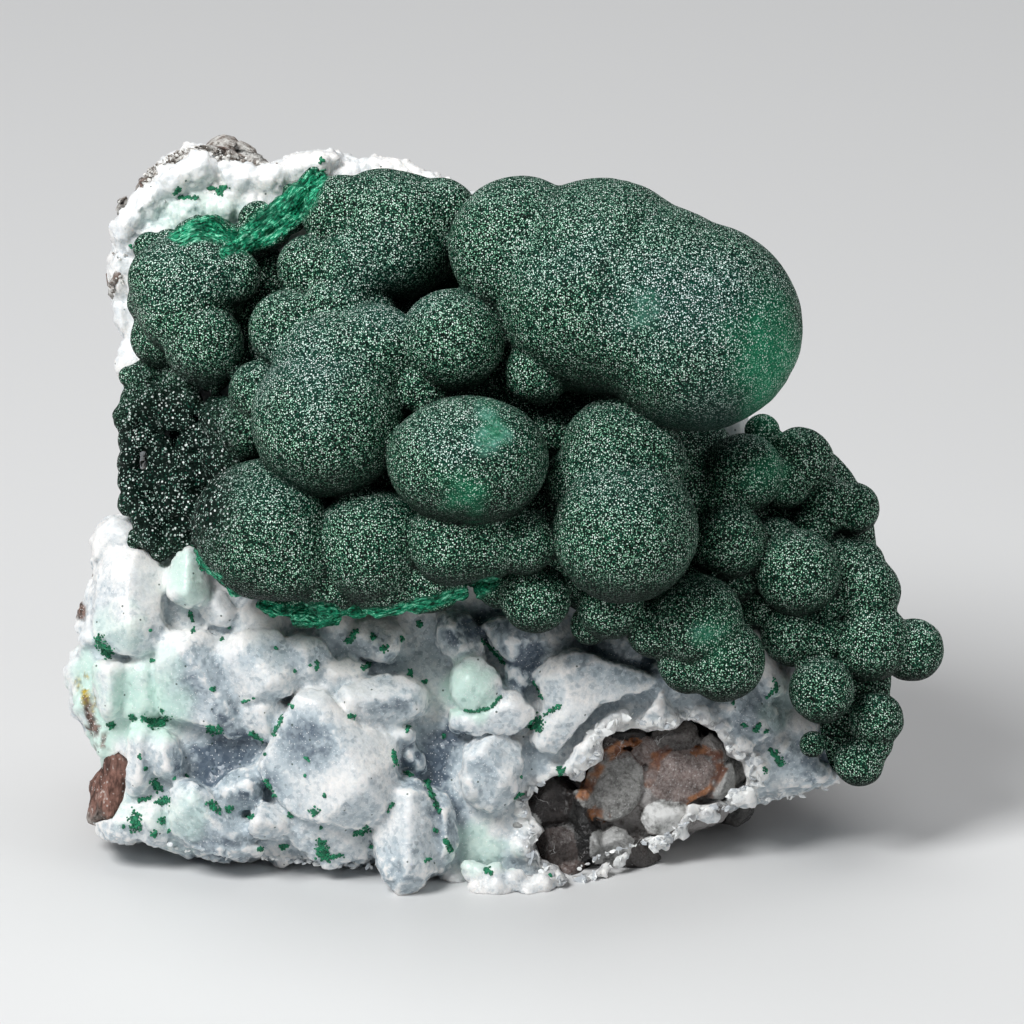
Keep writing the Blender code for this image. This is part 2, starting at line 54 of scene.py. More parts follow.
def turned(world):
    # Turns directions from the world to the face
    c, s = math.cos(specimen["lean"]), math.sin(specimen["lean"])
    x, y, z = world[..., 0], world[..., 1], world[..., 2]
    return np.stack([x, y * s + z * c, z * s - y * c], axis=-1)


def toFace(world):
    # The way back from metres to the face's own mm
    return turned(np.asarray(world, float) / specimen["mm"] - specimen["shift"])


def hashCells(cells, seed):
    # A random number from 0 to 1 for each whole-number cell, by scrambling the bits of its place and the seed
    parts = cells.astype(np.int64).astype(np.uint64)
    mixed = parts[..., 0] * np.uint64(0x9E3779B97F4A7C15)
    mixed = mixed + parts[..., 1] * np.uint64(0xC2B2AE3D27D4EB4F)
    mixed = mixed + parts[..., 2] * np.uint64(0x165667B19E3779F9)
    mixed = mixed + np.array(seed * 7919 + 13, np.uint64) * np.uint64(0x27D4EB2F165667C5)
    mixed = (mixed ^ (mixed >> np.uint64(29))) * np.uint64(0xBF58476D1CE4E5B9)
    mixed = mixed ^ (mixed >> np.uint64(32))
    return (mixed >> np.uint64(11)).astype(float) / 2.0 ** 53


def softNoise(points, size, seed):
    # Random values on a lattice, blended smoothly between its corners, from -1 to 1
    places = np.asarray(points, float) / size
    base = np.floor(places)
    inside = places - base
    inside = inside * inside * (3 - 2 * inside)
    total = np.zeros(len(places))
    for corner in range(8):
        step = np.array([corner & 1, corner >> 1 & 1, corner >> 2 & 1])
        weight = np.prod(np.where(step, inside, 1 - inside), axis=1)
        total += weight * hashCells(base + step, seed)
    return 2 * total - 1


def layeredNoise(points, size, seed, layers=3):
    # Soft noise, and on it further layers, each half as coarse and half as strong as the last
    return sum(0.5 ** k * softNoise(points, size * 0.5 ** k, seed + k) for k in range(layers))


def cellNoise(points, size, seed):
    # Distance to the nearest of many scattered seeds, the step to the next nearest, and the owner's number
    places = np.asarray(points, float) / size
    base = np.floor(places)
    first, second = np.full(len(places), 9.0), np.full(len(places), 9.0)
    owner = np.zeros(len(places))
    for step in np.ndindex(3, 3, 3):
        cell = base + np.array(step) - 1
        seeds = cell + np.stack([hashCells(cell, seed + k) for k in range(3)], axis=-1)
        far = np.linalg.norm(places - seeds, axis=1)
        nearer = far < first
        second = np.where(nearer, first, np.minimum(second, far))
        owner = np.where(nearer, hashCells(cell, seed + 5), owner)
        first = np.minimum(first, far)
    return first, second - first, owner


def smooth(value, low, high):
    # 0 below low, 1 above high, and an even S-curve between
    t = np.clip((value - low) / (high - low), 0, 1)
    return t * t * (3 - 2 * t)


def blots(face, rows, seed, ragged=1.0, fade=(0.55, 1.2), size=3.0):
    # How deep a point lies in any patch (right, up, half width, half height, strength): noise of this size
    # moves the point by up to ragged mm, and the patch fades between two shares of its half size
    warp = np.stack([layeredNoise(face, size, seed), layeredNoise(face, size, seed + 9)], axis=-1) * ragged
    total = np.zeros(len(face))
    for right, up, wide, tall, strength in rows:
        away = np.hypot((face[:, 0] + warp[:, 0] - right) / wide, (face[:, 1] + warp[:, 1] - up) / tall)
        total = np.maximum(total, strength * (1 - smooth(away, *fade)))
    return total


def closedTube(count, sides, upward):
    # Triangles over rings of points, one ring after the other, between a first and a last point
    ring = np.arange(sides)
    beside = (ring + 1) % sides
    starts = np.arange(count - 1)[:, None] * sides + 1
    last, end = (count - 1) * sides + 1, count * sides + 1
    quads = [starts + ring, starts + beside, starts + sides + beside, starts + sides + ring]
    if upward:
        upper, lower = (0, 3, 2), (0, 2, 1)
        caps = [np.zeros(sides, int), ring + 1, beside + 1], [np.full(sides, end), beside + last, ring + last]
    else:
        upper, lower = (0, 1, 2), (0, 2, 3)
        caps = [np.zeros(sides, int), beside + 1, ring + 1], [np.full(sides, end), last + ring, last + beside]
    sheets = [np.stack([quads[k] for k in order], axis=-1).reshape(-1, 3) for order in (upper, lower)]
    first, final = (np.stack(cap, axis=-1) for cap in caps)
    return np.concatenate([first, *sheets, final])


def ball(rings, sides):
    # Directions over a ball from ring angle and turn, with closed poles, and the triangles between them
    down = np.linspace(0, np.pi, rings + 1)[1:-1]
    turn = np.arange(sides) * 2 * np.pi / sides
    downs, turns = np.meshgrid(down, turn, indexing="ij")
    body = np.stack([np.sin(downs) * np.cos(turns), np.sin(downs) * np.sin(turns), np.cos(downs)], axis=-1)
    points = np.concatenate([[[0, 0, 1]], body.reshape(-1, 3), [[0, 0, -1]]])
    return points, closedTube(rings - 1, sides, True)


def loft(rings, first, last):
    # Rings of points joined one to the next, closed by a point at each end
    count, sides = rings.shape[:2]
    return np.concatenate([[first], rings.reshape(-1, 3), [last]]), closedTube(count, sides, False)


def joined(shapes):
    # Many (points, triangles) put end to end in one pair of arrays
    starts = np.cumsum([0] + [len(points) for points, _ in shapes[:-1]])
    points = np.concatenate([points for points, _ in shapes])
    return points, np.concatenate([triangles + start for (_, triangles), start in zip(shapes, starts)])


def makePiece(name, points, triangles):
    # A mesh object with its points in metres
    mesh = bpy.data.meshes.new(name)
    mesh.from_pydata(points, [], triangles)
    mesh.update()
    piece = bpy.data.objects.new(name, mesh)
    bpy.context.scene.collection.objects.link(piece)
    return piece


def shapesPiece(name, shapes):
    # One object from many (points, triangles) on the face
    points, triangles = joined(shapes)
    return makePiece(name, toWorld(points), triangles)


def settle(piece):
    # Fixes the mesh as the modifiers leave it
    bpy.context.view_layer.update()
    made = bpy.data.meshes.new_from_object(piece.evaluated_get(bpy.context.evaluated_depsgraph_get()))
    piece.modifiers.clear()
    old = piece.data
    piece.data = made
    bpy.data.meshes.remove(old)
    return piece


def ease(piece, steps):
    # Moves each point half of the way to its neighbours' middle, this many times
    easing = piece.modifiers.new("ease", 'SMOOTH')
    easing.factor = 0.5
    easing.iterations = steps


def fuse(piece, grain, soften=0):
    # Joins overlapping shapes into one skin with faces of one size, in mm
    skin = piece.modifiers.new("skin", 'REMESH')
    skin.mode = 'VOXEL'
    skin.voxel_size = grain * specimen["mm"]
    if soften:
        ease(piece, soften)
    return settle(piece)


def thin(piece, most):
    # Leaves at most this many triangles, taking them first where the skin is flat
    piece.data.calc_loop_triangles()
    have = len(piece.data.loop_triangles)
    if have > most:
        fewer = piece.modifiers.new("fewer", 'DECIMATE')
        fewer.ratio = most / have
        settle(piece)
    print(piece.name, have, "->", min(have, most), "triangles")
    return piece


def corners(piece):
    # The mesh's points and their normals, both on the face
    count = len(piece.data.vertices)
    points, normals = np.zeros(count * 3), np.zeros(count * 3)
    piece.data.vertices.foreach_get("co", points)
    piece.data.vertex_normals.foreach_get("vector", normals)
    return toFace(points.reshape(-1, 3)), turned(normals.reshape(-1, 3))


def moveCorners(piece, face):
    # Puts the points back, none of them below the table
    world = toWorld(face)
    world[:, 2] = np.maximum(world[:, 2], 0.0)
    piece.data.vertices.foreach_set("co", world.ravel())
    piece.data.update()


def paint(piece, layers):
    # A number for each point under each name, which the finish reads by that name
    for name, values in layers.items():
        layer = piece.data.attributes.new(name, 'FLOAT', 'POINT')
        layer.data.foreach_set("value", np.asarray(values, np.float32))


def hollowness(piece, steps):
    # How far the skin lies below its own smoothed copy, in mm: above 0 in hollows, below 0 on edges
    before, normals = corners(piece)
    twin = bpy.data.objects.new("smoothed", piece.data)
    bpy.context.scene.collection.objects.link(twin)
    ease(twin, steps)
    bpy.context.view_layer.update()
    shape = twin.evaluated_get(bpy.context.evaluated_depsgraph_get()).data
    after = np.zeros(len(shape.vertices) * 3)
    shape.vertices.foreach_get("co", after)
    bpy.data.objects.remove(twin)
    return np.sum((toFace(after.reshape(-1, 3)) - before) * normals, axis=1)


def faceOut(piece):
    # Turns a closed shape's faces outwards
    shape = bmesh.new()
    shape.from_mesh(piece.data)
    bmesh.ops.recalc_face_normals(shape, faces=shape.faces[:])
    shape.to_mesh(piece.data)
    shape.free()


def finishPiece(piece, finish, slot, *nodes, flat=False):
    # Gives a piece its material, its body and the nodes that it stands for; the slot is not used
    piece.data.materials.clear()
    piece.data.materials.append(finish)
    if flat:
        piece.data.shade_flat()
    else:
        piece.data.shade_smooth()
    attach(piece, "root")
    if nodes:
        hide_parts(*nodes)
    print(piece.name, "done")
    return piece


def stoneReach(directions, normals, depths, crisp):
    # How far a stone goes along each direction: to the nearest of its flat faces, eased where faces meet
    closeness = np.maximum(directions @ normals.T / depths, 0.001)
    return 1.0 / np.sum(closeness ** crisp, axis=1) ** (1.0 / crisp)


def facesAround(count, random, spread):
    # Face directions spaced evenly over a ball by the golden angle, each knocked off its place a little
    k = np.arange(count) + 0.5
    z = 1 - 2 * k / count
    turn = k * math.pi * (3 - math.sqrt(5))
    flat = np.sqrt(1 - z * z)
    normals = np.stack([flat * np.cos(turn), flat * np.sin(turn), z], axis=-1)
    normals += random.normal(size=normals.shape) * spread
    return normals / np.linalg.norm(normals, axis=1)[:, None]


def stone(middle, halfSizes, faces, seed, crisp, rings=28, sides=40):
    # A broken stone: a ball stopped by flat faces at slightly uneven depths, then stretched
    random = np.random.default_rng(seed)
    directions, triangles = ball(rings, sides)
    normals = facesAround(faces, random, 0.28)
    depths = random.uniform(0.8, 1.0, len(normals))
    spin = random.uniform(0, 2 * math.pi)
    turn = np.array([[math.cos(spin), -math.sin(spin), 0], [math.sin(spin), math.cos(spin), 0], [0, 0, 1]])
    points = directions * stoneReach(directions, normals @ turn.T, depths, crisp)[:, None]
    return np.array(middle) + points * np.array(halfSizes), triangles


def chip(middle, halfSizes, random):
    # A splinter: a coarse ball with each point pulled in by its own amount, turned about its own axis
    directions, triangles = ball(4, 6)
    points = directions * random.uniform(0.62, 1.05, len(directions))[:, None] * halfSizes
    axis = random.normal(size=3)
    axis /= np.linalg.norm(axis)
    turn = random.uniform(0, 2 * math.pi)
    c, s = math.cos(turn), math.sin(turn)
    points = points * c + np.cross(axis, points) * s + np.outer(points @ axis, axis) * (1 - c)
    return np.array(middle) + points, triangles


def chipsPiece(name, shapes, tones):
    # Joins the splinters and gives each its own tone
    points, triangles = joined(shapes)
    piece = makePiece(name, toWorld(points), triangles)
    faceOut(piece)
    moveCorners(piece, points)
    paint(piece, {"tone": np.repeat(tones, len(points) // len(tones))})
    print(name, len(triangles), "triangles")
    return piece


# Malachite
malachite = {
    "grain": 0.42,
    "triangles": 196000,
    "crease": 0.22,
    # the lobes: right, up, out, radius, and width, height and depth factors where one isn't round
    "lobes": [
        # the sausage-shaped lobe at the top
        (23.8, 72.1, 23.9, 13.1), (18.4, 75.0, 24.0, 12.5), (11.9, 77.1, 22.0, 13.5),
        (7.1, 79.1, 21.2, 9.8), (1.9, 81.9, 21.0, 9.0),
        # behind its left end
        (-13.4, 83.6, 14.0, 8.0), (-15.6, 86.2, 13.1, 5.9), (-20.5, 86.5, 13.2, 4.8),
        (-8.1, 86.0, 14.2, 4.8), (-24.4, 79.6, 14.9, 4.1), (-18.8, 79.4, 15.8, 5.2),
        # the lump by the white rim
        (-39.6, 76.9, 9.8, 7.2), (-42.9, 78.5, 10.8, 4.2), (-37.5, 78.8, 12.8, 5.2),
        (-34.0, 78.6, 13.4, 3.6), (-40.6, 74.1, 11.8, 5.2), (-37.6, 70.0, 13.9, 5.1),
        (-43.4, 70.9, 8.4, 3.6), (-44.1, 75.4, 8.8, 3.2),
        # the row under it
        (-27.1, 71.9, 17.2, 4.8), (-20.9, 74.1, 17.4, 4.6), (-16.6, 73.4, 16.8, 3.2),
        (-30.6, 64.2, 16.1, 3.9), (-34.9, 60.6, 12.9, 3.1), (-32.5, 59.1, 14.6, 3.4),
        (-34.6, 56.2, 11.5, 3.5),
        # the middle
        (-22.1, 60.6, 21.4, 9.6), (-20.9, 66.2, 19.8, 8.2), (-16.2, 69.1, 21.0, 6.0),
        (-10.4, 65.1, 21.8, 4.2), (-6.5, 70.5, 23.5, 6.5), (4.0, 66.5, 22.9, 4.1),
        (-4.6, 55.5, 27.4, 10.1, 1, 0.8, 0.95), (6.2, 59.1, 17.0, 3.0), (7.1, 52.9, 17.0, 3.0),
        # below the middle
        (-6.6, 45.5, 24.5, 5.5), (-3.4, 46.2, 23.0, 6.0), (2.4, 45.6, 23.8, 4.2), (14.0, 56.6, 22.0, 7.0),
        (17.5, 55.4, 22.8, 5.2), (14.9, 46.9, 23.8, 9.2), (10.0, 52.9, 22.0, 5.0),
        # the lower row
        (-30.4, 46.9, 18.2, 8.8), (-27.5, 43.8, 20.0, 6.0), (-16.6, 45.0, 19.8, 7.2),
        (-9.4, 41.6, 18.8, 5.2), (-21.9, 40.2, 18.0, 4.0), (-15.0, 40.2, 18.8, 4.2),
        (3.8, 38.4, 19.6, 4.4), (-0.6, 40.0, 17.0, 3.0), (13.2, 37.4, 16.8, 4.2), (18.8, 34.6, 15.2, 3.8),
        (10.6, 35.0, 14.5, 2.5), (24.0, 35.6, 16.2, 5.8), (27.4, 30.6, 14.8, 5.2), (23.1, 30.6, 13.8, 4.2),
        # the grape-like cluster at the right
        (29.8, 54.0, 11.0, 5.0), (26.9, 50.6, 10.2, 3.8), (32.2, 59.2, 6.8, 2.2), (37.1, 55.6, 5.9, 4.1),
        (34.8, 52.9, 7.5, 3.5), (43.9, 49.6, 3.8, 3.2), (40.4, 50.0, 4.5, 3.5), (38.4, 47.2, 5.2, 2.8),
        (36.6, 41.6, 10.6, 5.4), (33.8, 45.0, 8.5, 3.5), (27.8, 45.6, 12.2, 4.8), (28.8, 41.0, 8.9, 3.1),
        (44.9, 42.9, 4.2, 2.8), (44.9, 39.1, 5.2, 4.8), (42.5, 41.9, 5.2, 3.8), (36.1, 33.8, 7.0, 4.0),
        (39.6, 33.6, 6.5, 3.5), (45.9, 32.9, 6.0, 5.0), (51.1, 31.8, 4.0, 4.0), (39.6, 26.8, 8.9, 4.1),
        (46.6, 23.1, 4.6, 3.4), (44.5, 17.8, 3.9, 3.1), (46.5, 20.0, 3.8, 2.2), (38.5, 20.0, 6.4, 1.6),
        (40.6, 37.9, 5.9, 3.1), (31.6, 37.1, 6.5, 2.5),
        # deep in the crevice beside the lump
        (-31.0, 79.0, 3.5, 4.6), (-30.5, 74.0, 4.0, 4.6), (-31.0, 69.0, 5.0, 4.2),
        # the thick broken lip
        (-28.4, 37.4, 14.0, 2.2), (-25.4, 37.0, 14.4, 2.4), (-22.2, 37.0, 14.6, 2.3),
        (-18.8, 37.6, 14.6, 2.0),
        # the broken green crust above the lump
        (-32.4, 83.0, 9.0, 2.6), (-29.4, 84.3, 9.6, 2.6), (-27.2, 86.2, 9.6, 2.4), (-25.5, 88.2, 9.0, 2.2),
        (-24.0, 90.2, 8.2, 1.8), (-31.0, 85.6, 8.0, 2.6), (-39.0, 83.4, 8.8, 2.5), (-36.4, 83.8, 9.0, 2.5),
        (-34.6, 83.0, 9.2, 1.8), (-44.6, 82.2, 8.2, 2.0), (-42.2, 82.6, 8.8, 1.8),
        # the ragged lumps at the left edge
        (-46.4, 63.4, 6.0, 2.0), (-45.4, 65.2, 7.5, 1.8), (-46.8, 58.2, 5.5, 1.9), (-47.2, 55.4, 5.5, 1.6),
        (-46.8, 53.0, 6.0, 1.8), (-46.0, 50.2, 7.0, 1.7), (-45.2, 48.2, 8.0, 1.7), (-44.4, 46.0, 8.5, 1.7),
        # the flat mounds that they all grow from
        (-10.0, 58.0, 6.0, 20.0, 1.2, 0.95, 0.6), (16.0, 50.0, 5.0, 15.0, 1, 1, 0.65),
        (14.0, 72.0, 8.0, 13.0, 1.2, 0.9, 0.8), (-12.0, 83.0, 4.0, 8.0, 1.6, 0.9, 0.9),
        (-38.0, 75.0, 4.0, 7.0, 1, 1.3, 0.9), (-38.5, 55.0, 2.5, 9.0, 0.8, 1.25, 0.5),
        (36.0, 44.0, -1.0, 12.0, 0.9, 1.2, 0.5), (43.0, 28.0, -1.0, 7.0, 0.8, 1.7, 0.45),
        (24.0, 36.0, 4.0, 8.0, 1, 0.9, 0.7),
    ],
    # small grapes cover the left edge between these corners (right, up)
    "grapeCorners": ((-47.4, 65.5), (-36.0, 66.0), (-35.0, 45.0), (-45.6, 45.0)),
    "grapeRows": 9, "grapeColumns": 5, "grapeRadius": (1.2, 2.3), "grapeOut": (6.4, 10.4),
    # patches of a painted glow and of another colour: seed, raggedness, and rows of right, up, half width,
    # half height, strength
    # painted light: a bright green glow, as of light shining through the lobes
    "paintedGlow": {"seed": 60, "ragged": 1.6, "fade": (0.1, 1.7), "rows": [
        (32.6, 68.0, 4.5, 6.5, 0.8), (33.5, 62.0, 4, 3, 0.4), (32.5, 55.0, 2.0, 3.0, 0.35),
        (-5.0, 51.6, 2.4, 2.4, 0.5), (26.5, 34.0, 2.5, 2.5, 0.3)]},
    "bald": {"seed": 70, "ragged": 0.9, "fade": (0.3, 1.2), "rows": [
        (-1.7, 59.2, 2.5, 3.6, 1.0), (17.0, 74.0, 2.6, 2.4, 0.35), (25.2, 34.4, 2.5, 1.4, 0.5)]},
    # painted highlight: the paler teal on the upper faces, where the light falls
    "paintedHighlight": {"seed": 75, "ragged": 3.0, "fade": (0.1, 1.5), "size": 6.0, "rows": [
        (23.0, 75.0, 10.0, 7.5, 1.0), (9.0, 80.0, 8.0, 5.0, 0.6), (27.0, 63.0, 7.0, 6.0, 0.5),
        (-24.0, 67.0, 8.0, 6.0, 0.6), (-15.0, 77.0, 8.0, 6.0, 0.45), (-4.0, 58.0, 6.0, 4.0, 0.6),
        (14.0, 52.0, 6.0, 6.0, 0.35), (-31.0, 50.0, 6.0, 5.0, 0.3), (-40.0, 79.0, 6.0, 5.0, 0.35)]},
    # the coarse dark druse at the left edge
    "coarse": {"seed": 21, "rows": [(-42, 54.5, 10, 14, 1.0)]},
    # painted shade along faint creases, as lines (right, up, half width)
    "creases": [
        [(18.8, 86.5, 0.3), (14.6, 83.4, 0.4), (12.2, 80.4, 0.4), (12.4, 77.2, 0.4), (13.6, 74.8, 0.3)],
        [(6.9, 90.2, 0.3), (5.6, 87.6, 0.4), (5.0, 85.4, 0.3)],
    ],
    # where the crust's bright fibres show, as lines (right, up, half width): the lower lip, then the top left
    "lips": [
        [(-39.0, 44.6, 0.3), (-37.2, 41.6, 0.5), (-35.4, 39.2, 0.6), (-33.0, 37.7, 0.8), (-30.0, 36.8, 1.1),
         (-27.0, 36.4, 1.5), (-24.0, 36.2, 1.6), (-21.0, 36.0, 1.3), (-18.0, 36.2, 0.9), (-14.0, 36.8, 0.8),
         (-9.0, 37.8, 0.7), (-4.5, 39.0, 1.0), (-1.5, 40.2, 0.8)],
        [(-35.0, 81.6, 0.7), (-32.5, 83.0, 1.5), (-30.0, 84.6, 2.2), (-27.6, 86.4, 2.4), (-25.6, 88.4, 2.0),
         (-24.0, 90.4, 1.4), (-22.5, 91.2, 0.6)],
        [(-41.2, 83.6, 0.8), (-38.8, 84.2, 1.6), (-36.2, 84.4, 1.7), (-34.0, 83.2, 1.0)],
    ],
}


def growGrapes(values):
    # Rows of small balls between four corners, each moved a little from its row
    random = np.random.default_rng(7)
    topLeft, topRight, lowRight, lowLeft = (np.array(corner) for corner in values["grapeCorners"])
    near, far = values["grapeOut"]
    balls = []
    for row in range(values["grapeRows"]):
        down = row / (values["grapeRows"] - 1)
        left, right = topLeft + (lowLeft - topLeft) * down, topRight + (lowRight - topRight) * down
        for column in range(values["grapeColumns"]):
            across = (column + 0.5 * (row % 2)) / (values["grapeColumns"] - 0.5)
            place = left + (right - left) * across + random.uniform(-0.8, 0.8, 2)
            out = near + (far - near) * across + random.uniform(-0.9, 0.9)
            balls.append((place[0], place[1], out, random.uniform(*values["grapeRadius"])))
    return balls


def lobeArray(rows):
    # Every lobe as centre, radius and stretch in columns
    return np.array([tuple(row) + (1,) * (7 - len(row)) for row in rows], float)


def settleOnLobes(face, lobes, crease):
    # Steps each point onto the skin of the nearest lobe, easing the crease where two lobes meet:
    # the nearest gap weighs most, and a step is at most 0.4 mm
    middles, radii, stretch = lobes[:, :3], lobes[:, 3], lobes[:, 4:]
    for _ in range(3):
        for start in range(0, len(face), 20000):
            part = face[start:start + 20000]
            away = (part[:, None, :] - middles) / stretch
            length = np.maximum(np.linalg.norm(away, axis=2), 1e-6)
            slope = away / length[..., None] / stretch
            steep = np.linalg.norm(slope, axis=2)
            gap = (length - radii) / steep
            weight = np.exp(-(gap - gap.min(axis=1)[:, None]) / crease)
            total = weight.sum(axis=1)
            gap = gap.min(axis=1) - crease * np.log(total)
            along = np.einsum("ij,ijk->ik", weight, slope / steep[..., None])
            along /= np.maximum(np.linalg.norm(along, axis=1), 1e-6)[:, None]
            face[start:start + 20000] = part - np.clip(gap, -0.4, 0.4)[:, None] * along
    return face


def lineReach(face, line):
    # Of a band along a line (right, up, half width): how deep a point lies in it, how far along and across
    best, along, across = np.zeros(len(face)), np.zeros(len(face)), np.full(len(face), 99.0)
    walked = 0.0
    for (ax, ay, aw), (bx, by, bw) in zip(line, line[1:]):
        step = np.array([bx - ax, by - ay])
        length = np.linalg.norm(step)
        offset = face[:, :2] - (ax, ay)
        t = np.clip(offset @ step / length ** 2, 0, 1)
        far = np.linalg.norm(offset - t[:, None] * step, axis=1)
        side = (offset[:, 0] * step[1] - offset[:, 1] * step[0]) / length
        nearer = far < np.abs(across)
        along = np.where(nearer, walked + t * length, along)
        across = np.where(nearer, np.where(side < 0, -far, far), across)
        best = np.maximum(best, 1 - smooth(far / (aw + (bw - aw) * t), 0.75, 1.25))
        walked += length
    return best, along, across


def nearLine(face, line):
    # How deep a point lies in a band along a line
    return lineReach(face, line)[0]


def fibres(face):
    # The band that shows fibres, and places measured along, across and into it
    warped = face + layeredNoise(face, 2.5, 40)[:, None] * (0.5, 0.5, 0)
    mask, places = np.zeros(len(face)), face.copy()
    for line in malachite["lips"]:
        depth, along, across = lineReach(warped, line)
        mine = depth > mask
        mask = np.maximum(mask, depth)
        places[mine] = np.column_stack([along, across, face[:, 2]])[mine]
    return mask, places


def makeMalachite(finish):
    # All lobes in one skin, roughened at the left edge and drawn into fibres along the broken lips
    values = malachite
    lobes = lobeArray(values["lobes"] + growGrapes(values))
    directions, triangles = ball(22, 32)
    shapes = [(row[:3] + directions * row[3] * row[4:], triangles) for row in lobes]
    piece = fuse(shapesPiece("malachite_lobes", shapes), values["grain"])
    moveCorners(piece, settleOnLobes(corners(piece)[0], lobes, values["crease"]))
    face, normals = corners(piece)
    lip, places = fibres(face)
    ridges = 0.8 * layeredNoise(places * (0.4, 1.0, 0.7), 1.1, 50, 3) + 0.5 * layeredNoise(face, 2.6, 55, 3)
    swell = 0.16 * layeredNoise(face, 6.0, 11) + 0.04 * layeredNoise(face, 1.4, 15, 2)
    swell += blots(face, **values["coarse"]) * 0.3 * layeredNoise(face, 1.5, 31, 2)
    swell += lip * (ridges - 0.2)
    moveCorners(piece, face + normals * swell[:, None])
    thin(piece, values["triangles"])
    face, normals = corners(piece)
    lip, places = fibres(face)
    ribs = piece.data.attributes.new("ribs", 'FLOAT_VECTOR', 'POINT')
    ribs.data.foreach_set("vector", (places * specimen["mm"]).astype(np.float32).ravel())
    # painted shade: darker, with fewer specks, on faces turned down, in hollows and along the creases
    paintedShade = 0.9 * smooth(-normals @ turned(np.array([0, 0, 1])), -0.1, 0.9)
    paintedShade += smooth(hollowness(piece, 40), 0.1, 0.7)
    for line in values["creases"]:
        paintedShade += 0.45 * nearLine(face, line)
    pits = smooth(layeredNoise(face, 1.6, 57, 2), 0.15, 0.5)
    paint(piece, {
        "lip": lip,
        # painted glow, where listed
        "paintedGlow": blots(face, **values["paintedGlow"]),
        "bald": blots(face, **values["bald"]),
        "coarse": blots(face, **values["coarse"]),
        # painted highlight: paler where listed and on faces turned up
        "paintedHighlight": blots(face, **values["paintedHighlight"]) + 0.25 * smooth(normals[:, 1], 0.2, 0.9),
        # dark pits, and painted shade in the hollows
        "pitsAndShade": np.maximum(smooth(hollowness(piece, 8), 0.05, 0.22), pits),
        "mottle": smooth(layeredNoise(face, 1.2, 59, 2), -0.4, 0.4),
        "paintedShade": np.clip(paintedShade, 0, 1),
    })
    return finishPiece(piece, finish, "malachite", "malachite")


